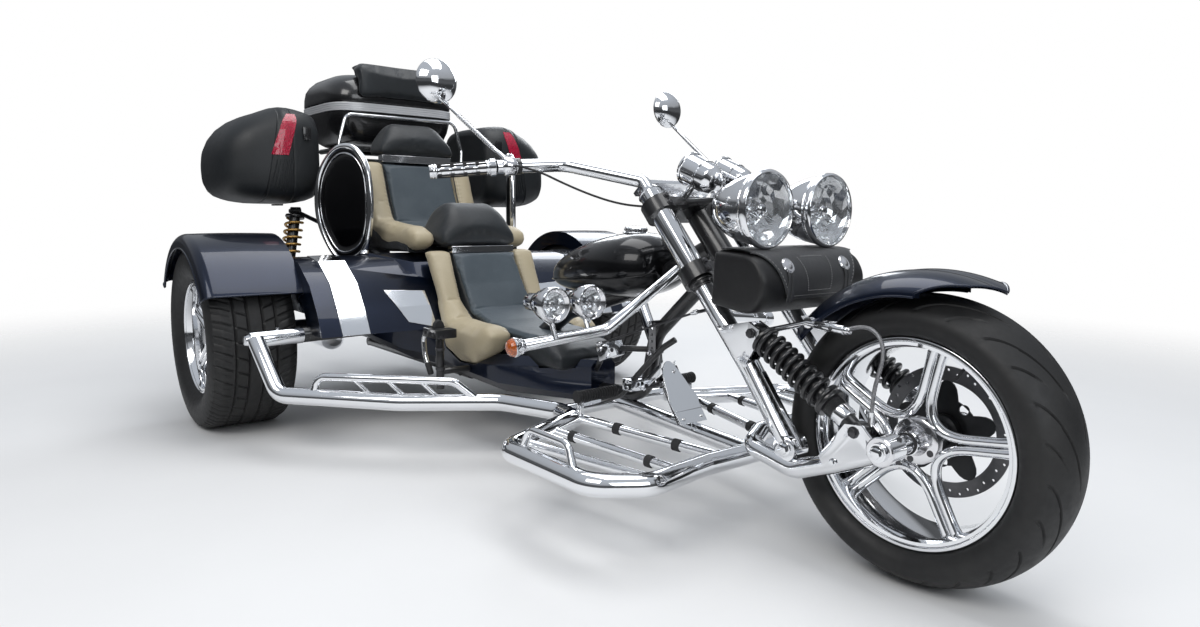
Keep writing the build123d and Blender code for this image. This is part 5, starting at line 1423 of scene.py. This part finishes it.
TOP_LID_STATIONS = (
    # from the rim: height, shift in x, half length, half width, power
    (1283, 0, 257, 297, 5), (1286, 0, 258, 298, 5), (1318, 0, 257, 297, 4.9),
    (1350, -2, 252, 292, 4.6), (1374, -5, 240, 279, 4.2), (1396, -10, 217, 255, 3.9),
    (1411, -15, 186, 222, 3.6), (1420, -18, 146, 178, 3.3), (1424, -20, 92, 116, 3),
    (1425, -20, 40, 50, 2.5),
)
TOP_BASE_STATIONS = (
    (1281.8, 0, 253, 293, 5), (1278.5, 0, 253.5, 293.5, 5), (1240, 0, 253.5, 293.5, 5),
    (1238, 0, 257, 297, 5), (1220, 1, 256, 295, 4.8), (1180, 3, 251, 287, 4.5),
    (1146, 6, 241, 273, 4.2), (1120, 9, 226, 254, 3.9), (1104, 11, 206, 230, 3.6),
    (1097, 12, 182, 202, 3.4), (1095.2, 12, 150, 168, 3.2),
)


def top_case():
    lid, base, band = Maker(), Maker(), Maker()
    case_shell(lid, TOP_LID_STATIONS, plan_row, -CASE_WALL, "gloss_case")
    lid.make("top_case_dome", "top_lid", ["top_case_lid"], smooth=50)
    case_shell(base, TOP_BASE_STATIONS, plan_row, CASE_WALL, "gloss_case")
    base.make("top_case_tub", "chassis", ["top_case_base"], smooth=50)

    # Bright band with raised edges and three grooves, bent round the joint: heights and how proud it stands
    low, high = 1242.0, 1278.0
    edge = [(low, 0), (low + 0.6, 2), (low + 2.6, 2.6)]
    for groove in (1248.0, 1257.4, 1266.8):
        edge += [(groove, 2.4), (groove + 0.6, 0.6), (groove + 3.4, 0.6), (groove + 4.0, 2.4)]
    edge += [(high - 2.6, 2.6), (high - 0.6, 2), (high, 0), (high, -3.4), (low, -3.4)]
    band.grid([plan_row((z, 0, 257.2 + proud, 297.2 + proud, 5.0)) for z, proud in edge], "satin_trim", wrap_rows=True)
    band.make("top_case_trim", "chassis", ["top_case_band"], smooth=40)


side_cases()
top_case()


# Lamps, pegs and small fittings of the chassis


def smooth_loop(points, per=6):
    """Closed curve through the points, as a longer list."""
    n = len(points)
    path = []
    for i in range(n):
        a, b, c, d = (points[(i + k) % n] for k in (-1, 0, 1, 2))
        for k in range(per):
            t = k / per
            path.append(0.5 * (2 * b + (c - a) * t + (2 * a - 5 * b + 4 * c - d) * t ** 2
                               + (3 * b - a - 3 * c + d) * t ** 3))
    return path


def driving_lamps():
    shells, glass = Maker(), Maker()
    for side in SIDES:
        for y in (275, 400):
            face = at(-822, side * y, 560)
            shells.lathe(face, AHEAD, [
                (-128, 0), (-128, 15), (-126, 21), (-120, 24.6), (-88, 25), (-86, 22.6), (-72, 22.6), (-70, 30),
                (-66, 34), (-60, 37), (-44, 39.6), (-42.6, 43.4), (-39, 44.4), (-22, 45.6), (-20.6, 47.4), (-3, 48),
                (-0.6, 47), (0, 45),
            ], "chrome", 56, caps=False)
            shells.lathe(face, AHEAD, [
                (-2, 45.4), (0.4, 44.6), (0.8, 42.6), (-0.4, 41), (-3.4, 37.6), (-6, 34.6), (-7.6, 33.2), (-10, 32.6),
            ], "chrome_cast", 56, caps=False)
            bowl = [(-42 + 32 * (r / 32.6) ** 2, r) for r in (5, 9, 14, 19, 24, 28.5, 32.6)]
            shells.lathe(face, AHEAD, bowl, "reflector", 22, caps=False)
            bulb = [(-44, 8), (-30, 7.6), (-28, 10.5), (-20, 10.5), (-17, 7.5), (-16, 0)]
            shells.lathe(face, AHEAD, bulb, "chrome", 24)
            dome = [(-9 + 6 * (1 - (r / 32.8) ** 2), r) for r in (32.8, 28, 21, 13, 6, 0)]
            glass.lathe(face, AHEAD, dome + [(along - 2, r) for along, r in reversed(dome[:-1])], "glass", 48)
            # Dark clamp band with its screw, round the narrow part of the housing
            shells.lathe(face, AHEAD, collar(-86, -73, 23, 26.4), "black_metal", 40)
            shells.box(face + Vector((-0.0795, 0, -0.031)), (12, 12, 12), "black_metal", edge=2)
            bolt(shells, face + Vector((-0.0795, -0.006, -0.032)), (0, -1, 0), 3.6, material="chrome")
            shells.rod(face + Vector((-0.0795, 0, -0.034)), at(-838, side * y, 505), 6, "chrome", 18)
    shells.make("driving_lamp_shells", "chassis", ["driving_lamps"], smooth=32)
    glass.make("driving_lamp_glass", "chassis", smooth=60)


def indicators():
    m = Maker()
    for side in SIDES:
        end = at(-852, side * 488, 456)
        out = Vector((-0.2, side, -0.1)).normalized()
        m.lathe(end, out, [
            (-6, 17), (0, 18.4), (1, 20.4), (4, 21.4), (5, 20), (8, 21.4), (15, 24.6), (21, 26.4), (23.6, 26.8),
            (24.6, 25.6), (24, 23),
        ], "chrome", 40)
        lens = [(23, 24.6), (26, 24.8), (31, 23.6), (36, 20.8), (40, 16.6), (43, 11), (44, 5.5), (44.4, 0)]
        m.lathe(end, out, lens, "amber_lens", 16)
    m.make("indicator_lamps", "chassis", ["indicators"], smooth=16)


def tail_lamps():
    m = Maker()
    back = Vector((-1, 0, 0))
    bezel = [(0, 34), (0, 38), (14, 38), (17, 37), (18, 34.6), (15, 33)]
    lens = [(12, 33.4), (17, 33), (18, 30), (19.4, 30), (20.4, 26), (22, 26), (23, 21), (24.4, 21), (25.2, 15),
            (26.4, 15), (27, 8), (27.6, 6), (28, 0)]
    for side in SIDES:
        for y in (770, 890):
            face = at(-2672, side * y, 500)
            m.lathe(face, back, bezel, "chrome", 48)
            m.lathe(face, back, lens, "red_lens", 48)
    m.make("tail_lamp_units", "chassis", ["tail_lamps"], smooth=30)


def hand_brake():
    lever_x, lever_y = -1590, -340
    m = Maker()
    m.box(at(lever_x, lever_y, 388), (100, 80, 32), "black_metal", edge=5)
    for dx in (-38, -22, 22, 38):
        m.box(at(lever_x + dx, lever_y, 404.2), (7, 64, 2), "rubber", edge=0.7)
    m.rod(at(lever_x, lever_y, 190), at(lever_x, lever_y, 376), 14, "black_metal", 28)
    for z in (214, 262, 330):
        m.lathe(at(lever_x, lever_y, z), (0, 0, 1), collar(-5, 5, 14, 16.4), "dark_steel", 28)
    knob = [(-20, 0), (20, 0), (20, 10), (17, 20), (11, 27), (3, 31), (-3, 31), (-11, 27), (-17, 20), (-20, 10)]
    m.flat([knob], 17, axes(at(lever_x, lever_y - 5, 402), (0, 1, 0), (1, 0, 0)), "rubber", edge=4)
    m.tube([at(-1632, -350, 388), at(-1690, -352, 372), at(-1680, -352, 300), at(-1640, -350, 235)], 9, [34, 46],
           "chrome", 24)
    m.lathe(at(-1640, -350, 235), at(-1680, -352, 300) - at(-1640, -350, 235),
            [(-1, 6), (0, 9.6), (5, 10.8), (38, 10.8), (42, 9.6), (43, 9)], "rubber", 24)
    m.rod(at(lever_x, lever_y - 5, 250), at(lever_x, -226, 250), 11, "black_metal", 24)
    for dx, size in ((0, 8), (-30, 6), (30, 6)):
        bolt(m, at(lever_x + dx, lever_y - 39.5, 388), (0, -1, 0), size)
    m.make("parking_lever", "chassis", ["hand_brake"], smooth=40)


def peg_rubbers():
    """Ribbed rubbers on the rider's pegs, and the pegs' bright posts."""
    m = Maker()
    profile = [(0, 0), (0, 15), (2, 18), (8, 18.6), (10, 17)]
    for z in (12 + k * 9.6 for k in range(13)):
        profile += collar(z, z + 7.4, 15.4, 17.6)
    profile += [(138, 17), (140, 18.6), (148, 18.6), (150, 17), (150, 0)]
    for side in SIDES:
        m.rod(at(-940, side * 226, 204), at(-940, side * 226, 256), 10, "chrome", 24)
        m.lathe(at(-940, side * 92, 268), (0, side, 0), profile, "rubber", 32)
    m.make("peg_rubbers", "chassis", ["foot_pegs"], smooth=30)


def pedal_plate():
    """Tall pointed plate with a folded edge, hinged low on the spine, and its arm."""
    m = Maker()
    low, high = at(-692, 0, 206), at(-802, 0, 372)
    run = (high - low).normalized()
    normal = Vector((run.z, 0, -run.x))
    place = axes((low + high) / 2 - normal * 0.0016, LEFT, normal)

    def spot(u, v, lift=0.0):
        return place @ (Vector((u, v, lift)) / 1000)

    foot = [(-52, -99), (52, -99)]
    curved = [(50, -40), (36, 20), (20, 66), (6, 92), (-8, 99), (-24, 92), (-40, 74), (-50, 46), (-56, 10), (-55, -40)]
    outline = foot + [tuple(p) for p in smooth_loop([Vector(p) for p in curved], 4)[:-4]]
    m.flat([outline], 3.2, place, "mirror_plate", 1.0)
    m.box(spot(0, -58, 2.6), (104, 3, 2.2), "chrome", place.to_3x3(), edge=0.8)
    for k in range(18):
        knuckle = spot(-53.5, 7.4 * k - 88, -8)
        m.rod(knuckle - normal * 0.006, knuckle + normal * 0.006, 2.3, "chrome", 8)
    m.rod(spot(-53.5, -94, -9), spot(-53.5, 42, -9), 3, "dark_steel", 12)
    for u, v in ((-36, -84), (36, -84), (0, 62)):
        dome_nut(m, spot(u, v, 1.6), normal, 4)
    cheek = [(-35, -16), (39, 52), (33, 14), (-35, -48)]
    for y in (-29, 29):
        m.flat([cheek], 4, axes(at(-845, y, 316), AHEAD, -LEFT), "mirror_plate", edge=1)
    m.rod(at(-866, -33, 286), at(-866, 33, 286), 8, "dark_steel", 20)
    m.box(at(-762, 0, 290), (8, 60, 150), "dark_steel", Matrix.Rotation(atan2(run.x, run.z), 3, "Y"), edge=2)
    m.make("pedal_plate", "chassis", ["foot_pedal"], smooth=40)


def down_tube_bracket(m):
    """Polished bracket on two dark arms."""
    y = -66
    m.box(at(-996, y, 380), (92, 34, 46), "mirror_plate", Matrix.Rotation(radians(-21), 3, "Y"), edge=3)
    for x, z in ((-1024, 366), (-968, 388)):
        bolt(m, at(x, y - 17, z), -LEFT, 5)
    m.rod(at(-960, y + 6, 392), at(-880, -12, 396), 9, "black_metal", 20)
    m.rod(at(-1036, y + 6, 366), at(-1108, -30, 300), 9, "black_metal", 20)


def perforated_link(m):
    """Link with four holes and a clevis at each end."""
    holes = [circle(5, 16, (0, v)) for v in (-30, -10, 10, 30)]
    outline = [(-11, -46), (11, -46), (13, -34), (13, 34), (11, 46), (-11, 46), (-13, 34), (-13, -34)]
    m.flat([outline] + holes, 5, axes(at(-829, -46, 440), AHEAD, -LEFT), "cast_alloy", edge=1)
    for z in (396, 484):
        m.rod(at(-829, -56, z), at(-829, -4, z), 7, "dark_steel", 20)
        dome_nut(m, at(-829, -56, z), -LEFT, 6)


def linkage_rod(m):
    """Rod that crosses the gap from the bracket to the steering head."""
    start, end = at(-1040, -72, 398), at(-640, -64, 536)
    m.rod(start, end, 3.2, "dark_steel", 12)
    for a, b in ((start, end), (end, start)):
        lean = (b - a).normalized()
        m.lathe(a - lean * 0.012, lean, [(0, 5), (2, 7), (16, 7), (18, 5), (26, 4.6), (27, 3)], "chrome", 16)
    m.rod(start, start + Vector((0.006, 0.03, -0.012)), 4, "dark_steel", 12)
    m.rod(end, end + Vector((-0.004, 0.062, 0.004)), 5, "dark_steel", 12)


def clamp_block(m):
    """Clamp block on the down tube and the bent pipe below it."""
    m.box(at(-908, -40, 288), (44, 66, 36), "mirror_plate", edge=3)
    for z in (279, 297):
        bolt(m, at(-908, -73, z), -LEFT, 5, material="chrome")
    pipe = ((-738, -40, 446), (-770, -58, 420), (-852, -60, 344), (-950, -60, 248), (-1040, -60, 212))
    m.tube([at(*p) for p in pipe], 9, [30, 60, 60], "black_metal", 20)


def tube_sleeves(m):
    """Rubber sleeves on the inner and outer tubes ahead of the pegs."""
    for side in SIDES:
        inner = at(-975, side * 236, 204), at(-465, side * 120, 180), (0.34, 0.72), collar(-12, 12, 14, 16.6)
        outer = at(-900, side * 360, 200), at(-455, side * 300, 186), (0.2, 0.8), collar(-10, 10, 13, 15.6)
        for a, b, shares, profile in (inner, outer):
            for share in shares:
                m.lathe(a + (b - a) * share, b - a, profile, "rubber", 28)


def frame_fittings():
    """Small bright and dark fittings round the down tube, seen between the fork and the tub."""
    m = Maker()
    for part in (down_tube_bracket, perforated_link, linkage_rod, clamp_block, tube_sleeves):
        part(m)
    m.make("frame_fittings", "chassis", smooth=38)


def rail_sleeves():
    """Bright sleeves that cover the rails' ends, with their end plates."""
    m = Maker()
    for side in SIDES:
        a, b = at(-1950, side * 420, 372), at(-1890, side * 880, 372)
        run = (b - a).normalized()
        length = (b - a).length * 1000
        joint = length * 0.62
        sleeve = [(joint, 26), (joint + 1, 28.6), (length + 4, 28.6), (length + 7, 27), (length + 8, 22)]
        m.lathe(a, run, sleeve, "mirror_plate", 48)
        m.lathe(a, run, [(20, 26), (21, 27.2), (joint - 2, 27.2), (joint, 26)], "black_metal", 48)
        bolt(m, a + run * (length * 0.80 / 1000) + Vector((0, 0, 0.0284)), (0, 0, 1), 6, material="chrome")
    m.make("rail_sleeves", "chassis", smooth=40)


def rear_struts():
    m = Maker()
    for side in SIDES:
        top, eye = at(-2640, side * 470, 800), at(-2575, side * 560, 372)
        axis = eye - top
        length = axis.length * 1000
        m.lathe(top, axis, [(6, 8), (16, 9), (18, 20), (20, 38), (27, 39.4), (30, 38), (30, 22), (length - 152, 22),
                            (length - 152, 38), (length - 146, 39.4), (length - 141, 38), (length - 138, 27)],
                "black_metal", 40)
        helix(m, top, axis, 34, 5.6, 8, 36, length - 158, "gold_spring")
        m.lathe(top, axis, [(length - 146, 22), (length - 140, 27), (length - 132, 27), (length - 130, 22),
                            (length - 18, 21.4), (length - 12, 16)], "chrome", 36)
        for centre in (top, eye):
            m.lathe(centre - LEFT * 0.0202, LEFT, collar(0, 40.4, 14, 17.4, 1.4), "black_metal", 28)
            bolt(m, centre + LEFT * (0.0202 * side), LEFT * side, 9)
    m.make("rear_shock_units", "chassis", ["rear_shocks"], smooth=42)


def grab_point(side, along, z):
    """Point in the slanted plane of a grab panel, at a distance back along it and a height."""
    return at(-2170 - along * 0.88, side * (335 + along * 0.48), z)


def grab_loop(side, outline, per=6):
    """Closed curve in a grab panel's plane, with its middle and the plane's normal."""
    loop = smooth_loop([grab_point(side, along, z) for along, z in outline], per)
    return loop, sum(loop, Vector()) / len(loop), Vector((0.48, side * 0.88, 0)).normalized()


def grab_dishes():
    """Glossy dished ovals inside the loops, with a thin bright ring."""
    skin, trim = Maker(), Maker()
    outline = [(46, 648), (4, 762), (10, 954), (76, 1044), (166, 1034), (240, 926), (244, 764), (156, 622)]
    dish = ((1.0, 4), (0.985, 8), (0.95, 9.4), (0.92, 8), (0.88, 3), (0.78, -1), (0.6, -3), (0.35, -4), (0.12, -4.4))
    for side in SIDES:
        loop, middle, normal = grab_loop(side, outline)
        for face in (1, -1):
            rows = [[middle + (p - middle) * share + normal * (face * lift / 1000) for p in loop]
                    for share, lift in dish]
            skin.grid(rows, "black_paint")
            skin.shut(rows[-1], "black_paint")
        skin.grid([[p + normal * (lift / 1000) for p in loop] for lift in (4, -4)], "black_paint")
        rows = [hoop(middle + (p - middle) * 0.90 + normal * 0.0074, (p - middle).normalized(), normal, 0.0034, 12)
                for p in loop]
        trim.grid(rows, "chrome", wrap_rows=True)
    skin.make("grab_dishes", "chassis", ["grab_panels"], smooth=60)
    trim.make("grab_rings", "chassis", smooth=60)


def grab_loops():
    """Bright tubes round the dishes, and the thin rail behind the head cushion."""
    m = Maker()
    outline = [(40, 640), (0, 762), (6, 958), (72, 1050), (168, 1040), (246, 932), (250, 762), (160, 614)]
    foot = [(0, 13), (2, 17), (12, 18.5), (20, 24), (24, 25)]
    for side in SIDES:
        loop, middle, normal = grab_loop(side, outline, 8)
        m.grid([hoop(p, (p - middle).normalized(), normal, 0.013, 24) for p in loop], "chrome", wrap_rows=True)
        for along, z in ((30, 660), (166, 626)):
            m.lathe(grab_point(side, along, z) - UP * 0.012, -UP, foot, "chrome", 32)
    rail = [(-2520, -268, 985), (-2568, -300, 1090), (-2568, -262, 1222)]
    rail += [(x, -y, z) for x, y, z in reversed(rail)]
    m.tube([at(*p) for p in rail], 8, [30, 40, 40, 30], "chrome", 28)
    m.make("grab_loops", "chassis", ["grab_rails"], smooth=60)


def axle_fittings():
    m = Maker()
    for side in SIDES:
        out = Vector((0, side, 0))
        end = at(0, side * 186, FRONT_R)
        m.lathe(end, out, [(-12, 20.4), (-4, 20.4), (-1, 19), (0.4, 15)], "chrome", 40)
        bolt(m, end, out, 12, 10, "chrome")
        m.lathe(at(0, side * 174, FRONT_R), out, [(-4, 30), (-3, 31.4), (2, 31.4), (4, 29), (4, 20)], "chrome_cast", 44)
        bolt(m, at(-65, side * 173, 347), out, 10, 8)
        bolt(m, at(-112, side * 173, 270), out, 6.5, 5, "chrome")
        bolt(m, at(-248, side * 166, 266), out, 13, 10, "chrome")
        bolt(m, at(SHOCK_TOP[0], side * 176, SHOCK_TOP[1]), out, 9, 7)
        for x, z in ((-25, 348), (25, 348)):
            m.rod(at(x * 0.75, side * 134, 292), at(x * 0.75, side * 134, z), 5, "dark_steel", 6)
        hub = 62.5 if side < 0 else 93.5
        spacer = [(0.4, 19), (0.4, 24), (3, 26), (9, 26), (10, 22), (121 - hub, 21), (121 - hub, 19)]
        m.lathe(at(0, side * hub, FRONT_R), out, spacer, "chrome", 36)
        m.lathe(at(0, side * (hub + 10), FRONT_R), out, collar(0, 4.5, 21, 24.4, 0.5), "rubber", 36)
    m.make("axle_fittings", "fork", smooth=36)


def fork_fittings():
    m = Maker()
    for side in SIDES:
        for w in (0, 222):
            for dw in (-12, 12):
                spot = on_fork(43.4, side * 140, w + dw)
                bolt(m, spot, on_fork(60, side * 140, w + dw) - spot, 7, 6)
        top = on_fork(0, side * 140, 290)
        bolt(m, top, on_fork(0, side * 140, 320) - top, 13, 8, "chrome")
        # Dust seal and bright collar where the thick tube meets the slimmer one
        low = on_fork(0, side * 140, -22)
        down = on_fork(0, side * 140, -60) - low
        m.lathe(low, down, [(0, 32), (1, 34), (7, 34), (9, 31), (16, 30), (18, 27.6), (22, 27.6), (23, 27)],
                "black_metal", 44)
    # Thick pipe end with two screws, where the braided hose leaves the mudguard's stay
    start, end = at(-236, -121, 558), at(*HOSE[0])
    run = (end - start).normalized()
    m.rod(start + (end - start) * 0.3, end, 10.5, "chrome", 24)
    m.lathe(end, run, [(-2, 8), (0, 9), (8, 9), (9, 7.4), (16, 7), (17, 5.4)], "chrome_cast", 24)
    for share in (0.45, 0.72):
        bolt(m, start + (end - start) * share + Vector((0, -0.0104, 0)), (0, -1, 0), 4)
    stem = on_fork(0, 0, 237.5)
    bolt(m, stem, on_fork(0, 0, 300) - stem, 17, 12, "chrome")
    m.make("fork_bolts", "fork", smooth=36)


def bar_fittings():
    """Rubber rings on the grips, clamps beside them and the ends' caps."""
    m = Maker()
    for side in SIDES:
        start, end = grip_ends(side)
        run = (end - start).normalized()
        length = (end - start).length * 1000
        for out in hoop(Vector(), *square_to(run), 0.0172, 8):
            m.rod(start + run * 0.028 + out, end - run * 0.016 + out, 2.6, "rubber", 10)
        for along in (20, 26, length - 12, length - 5):
            m.lathe(start, run, collar(along - 2.4, along + 2.4, 17, 20.4), "chrome", 36)
        bend = at(-990, side * 250, 939)
        inner = (bend - start).normalized()
        m.lathe(start, inner, [(24, 19), (24.6, 24), (27, 25.4), (52, 25.4), (54, 24), (54.6, 19)], "chrome_cast", 40)
        m.lathe(start, inner, collar(58, 70.6, 19, 22, 0.6), "black_metal", 40)
        spot = start + inner * 0.039
        for dz in (-1, 1):
            bolt(m, spot + Vector((0, 0, dz * 0.0252)), (0, 0, dz), 4.5)
    m.make("grip_rings", "fork", smooth=36)


def fender_shell(maker, hub, section, start, end, steps, side=1):
    """Arch from a closed section of (radius, distance across) pairs; start gives each pair's first turn."""
    rows = []
    for i in range(steps + 1):
        rows.append([wheel_point(hub, r, start(r, y) + (end - start(r, y)) * i / steps, side * y) for r, y in section])
    maker.grid(rows, "navy_paint", caps=True)
    return rows


def front_fender():
    """Mudguard with a pointed tip, turned-down sides and rolled edges."""
    half, skirt, outer, thick = 114, 318, 367, 5
    bend = arc((outer, 0), (outer - 11, half * 0.72), (outer - 40, half), 20)
    right = [(outer, 0)] + bend + [(outer - 40 - k * (outer - 40 - skirt) / 4, half) for k in range(1, 5)]
    top = [(r, -y) for r, y in right[:0:-1]] + right
    below = []
    for r, y in top:
        share = max(0, min(1, (r - 327) / 40))
        below.append((r - thick * share, y - thick * (1 - share) * (1 if y > 0 else -1)))
    section = top + below[::-1]
    tip = outer * sin(radians(24))

    def limit(y):
        """How far ahead the shell reaches at a distance from its middle: the tip comes to a rounded point."""
        y = min(abs(y), half)
        if y < 70.7:
            return tip + 5 - 47 * (y / 70.7) ** 1.35
        return tip - 42 - 88 * ((y - 70.7) / (half - 70.7)) ** 0.95

    def start(r, y):
        return degrees(atan2(limit(y), sqrt(max(1, r * r - limit(y) ** 2))))

    m = Maker()
    hub = at(0, 0, FRONT_R)
    rows = fender_shell(m, hub, section, start, -52, 60)
    m.make("front_fender_shell", "fork", ["front_fender"], smooth=50)
    bead = Maker()
    width = len(top)
    bead.sweep([p + Vector((0.0006, 0, 0)) for p in rows[0][:width]], 2.6, "navy_paint", 12)
    for j in (0, width - 1):
        bead.sweep([row[j] for row in rows], 2.6, "navy_paint", 12)
    bead.sweep(rows[-1][:width], 2.6, "navy_paint", 12)
    bead.make("front_fender_lip", "fork", smooth=60)


def rear_fenders():
    """Wide arches over the rear wheels with a rolled edge all round."""
    r_in, r_out, y_in, y_out = 374, 379, REAR_Y - REAR_W / 2 - 13.5, REAR_Y + REAR_W / 2 + 15.5
    outside = [(r_in - 46, y_out), (r_out - 50, y_out), (r_out - 34, y_out)]
    bend = arc((r_out - 34, y_out), (r_out - 10, y_out - 10), (r_out, y_out - 34), 12)
    outside += bend
    outside += [(r_out + 2.4 * sin(pi * k / 12), y_out - 34 - (y_out - 34 - y_in) * k / 12) for k in range(1, 13)]
    outside += [(r_out - k * 16.25, y_in) for k in range(1, 5)]
    inside = [(r_in - 60, y_in + 5), (r_in - 20, y_in + 5), (r_in, y_in + 5), (r_in, y_out - 34)]
    inside += [(r - 4, y - 4) for r, y in bend[-2::-1]]
    inside += [(r_out - 36, y_out - 5), (r_in - 46, y_out - 5)]
    m = Maker()
    for side in SIDES:
        hub = at(REAR_X, 0, REAR_R)
        rows = fender_shell(m, hub, outside + inside, lambda r, y: 62, -60, 72, side)
        width = len(outside)
        m.sweep([row[0] for row in rows], 3, "navy_paint", 12)
        for row in (rows[0], rows[-1]):
            m.sweep(row[:width], 3, "navy_paint", 12)
    m.make("rear_fender_shells", "chassis", ["rear_fenders"], smooth=50)


def tank_cap():
    m = Maker()
    base = at(-960, 0, 744)
    m.lathe(base, (0.03, 0, 1), [
        (-2, 40), (2, 40), (4, 37), (5, 33), (6, 33), (6.4, 35), (14, 35), (17, 33), (19, 28), (20.4, 16), (21, 0),
    ], "chrome", 56)
    for edge in hoop(base, Vector((1, 0, 0)), Vector((0, 1, 0)), 0.0346, 24):
        m.rod(edge + UP * 0.007, edge + UP * 0.0135, 1.6, "chrome", 8)
    m.make("tank_cap", "chassis", smooth=36)


def rear_fittings():
    """Fins on the cylinder banks, grooves on the fan's pulley, plate screws and its lamp."""
    m = Maker()
    for side in SIDES:
        for k in range(9):
            m.box(at(-2695, side * 272, 280 + k * 13.6), (278, 126, 4), "cast_alloy", edge=1.2)
        for y in (105, -105):
            bolt(m, at(-3030, y, 666 if side < 0 else 584), (-1, 0, 0), 5, material="chrome")
    pulley = [(0, 88), (2, 88), (3, 80), (6, 80), (7, 60), (4, 58), (4, 30), (9, 28), (9, 0)]
    m.lathe(at(-2950, 0, 360), (-1, 0, 0), pulley, "dark_steel", 56)
    m.box(at(-3024, 0, 697), (20, 90, 14), "black_metal", edge=3)
    m.make("tail_fittings", "chassis", smooth=38)


for fit in (
    driving_lamps, indicators, tail_lamps, hand_brake, peg_rubbers, pedal_plate, frame_fittings,
    rail_sleeves, rear_struts, grab_dishes, grab_loops, axle_fittings, fork_fittings,
    bar_fittings, front_fender, rear_fenders, tank_cap, rear_fittings,
):
    fit()


# Camera, light and ground


def camera():
    """Stands where the photographer stood, with the same lens and the same slight lean."""
    yaw, pitch, roll = radians(50.86), radians(7.17), radians(0.571)
    ahead = Vector((-sin(yaw), cos(yaw), 0))
    right = Vector((cos(yaw), sin(yaw), 0))
    look = ahead * cos(pitch) - UP * sin(pitch)
    head = UP * cos(pitch) + ahead * sin(pitch)
    side = right * cos(roll) + head * sin(roll)
    top = head * cos(roll) - right * sin(roll)
    data = bpy.data.cameras.new("camera")
    data.sensor_width = 36
    data.lens = 23.72
    eye = stand("camera", data)
    place = Matrix((side, top, -look)).transposed().to_4x4()
    place.translation = at(858.5, -1618.3, 800.3)
    eye.matrix_world = place
    scene.camera = eye


def lamp(name, place, energy, size, colour):
    """Soft box aimed at the middle of the vehicle."""
    data = bpy.data.lights.new(name, "AREA")
    data.energy = energy
    data.color = colour
    data.shape = "RECTANGLE"
    data.size, data.size_y = size
    light = stand(name, data)
    light.location = place
    light.rotation_euler = (at(-1300, 0, 500) - place).to_track_quat("-Z", "Y").to_euler()


def ground():
    """Pale floor that fades into the white backdrop a few metres away."""
    n = Nodes("ground")
    tone = n.mix(n.noise(2.2, 5), (0.74, 0.74, 0.74), (0.78, 0.78, 0.78))
    grain = n.bump(n.noise(240, 4), 0.08, 0.001)
    n.surface(Base_Color=tone, Roughness=n.scale(n.noise(40, 4), 0.6, 0.75), Normal=grain)
    shaded = n.out.links[0].from_socket
    place = n.add("ShaderNodeNewGeometry").outputs["Position"]
    far = n.add("ShaderNodeVectorMath", {0: place, 1: tuple(at(-1300, 0, 0))}, operation="DISTANCE").outputs["Value"]
    fade = n.add("ShaderNodeMapRange", {"Value": far, "From Min": 2.0, "From Max": 5.6},
                 interpolation_type="SMOOTHSTEP").outputs["Result"]
    clear = n.add("ShaderNodeBsdfTransparent").outputs[0]
    n.feed(n.out, n.add("ShaderNodeMixShader", {0: fade, 1: shaded, 2: clear}).outputs[0])
    mesh = bpy.data.meshes.new("floor")
    reach = 12
    corners = [(-reach, -reach, 0), (reach, -reach, 0), (reach, reach, 0), (-reach, reach, 0)]
    mesh.from_pydata(corners, [], [(0, 1, 2, 3)])
    mesh.materials.append(n.material)
    floor = stand("floor", mesh)


def world():
    """White to the camera; to the chrome it is a soft studio: pale overhead, darker round the sides."""
    w = bpy.data.worlds.new("world")
    scene.world = w
    w.use_nodes = True
    n = Tree(w.node_tree)
    ahead = n.add("ShaderNodeTexCoord").outputs["Generated"]
    height = n.add("ShaderNodeSeparateXYZ", {0: ahead}).outputs["Z"]
    sides = [(place, (tone, tone * 1.04, tone * 1.1)) for place, tone in ((0.10, 0.12), (0.24, 0.10), (0.34, 0.45))]
    sky = n.ramp(height, [(0.0, (0.05, 0.052, 0.055)), *sides, (0.8, (0.62, 0.66, 0.72))])
    studio = n.add("ShaderNodeBackground", {"Color": sky, "Strength": 0.8}).outputs[0]
    plain = n.add("ShaderNodeBackground", {"Color": (1, 1, 1, 1), "Strength": 1.0}).outputs[0]
    seen = n.add("ShaderNodeLightPath").outputs["Is Camera Ray"]
    blend = n.add("ShaderNodeMixShader", {0: seen, 1: studio, 2: plain}).outputs[0]
    n.add("ShaderNodeOutputWorld", {0: blend})
    scene.view_settings.view_transform = "Standard"


camera()
ground()
world()
for name, place, energy, size, colour in (
    ("key", (600, -3800, 4200), 105, (3.2, 2.2), (1.0, 0.98, 0.95)),
    ("front", (3600, -600, 2400), 50, (2.6, 2.0), (0.94, 0.97, 1.0)),
    ("top", (-1300, 400, 4800), 120, (5.0, 2.4), (1, 1, 1)),
    ("rim", (-4600, 3200, 3000), 70, (3.0, 1.6), (0.92, 0.96, 1.0)),
):
    lamp(name, at(*place), energy, size, colour)
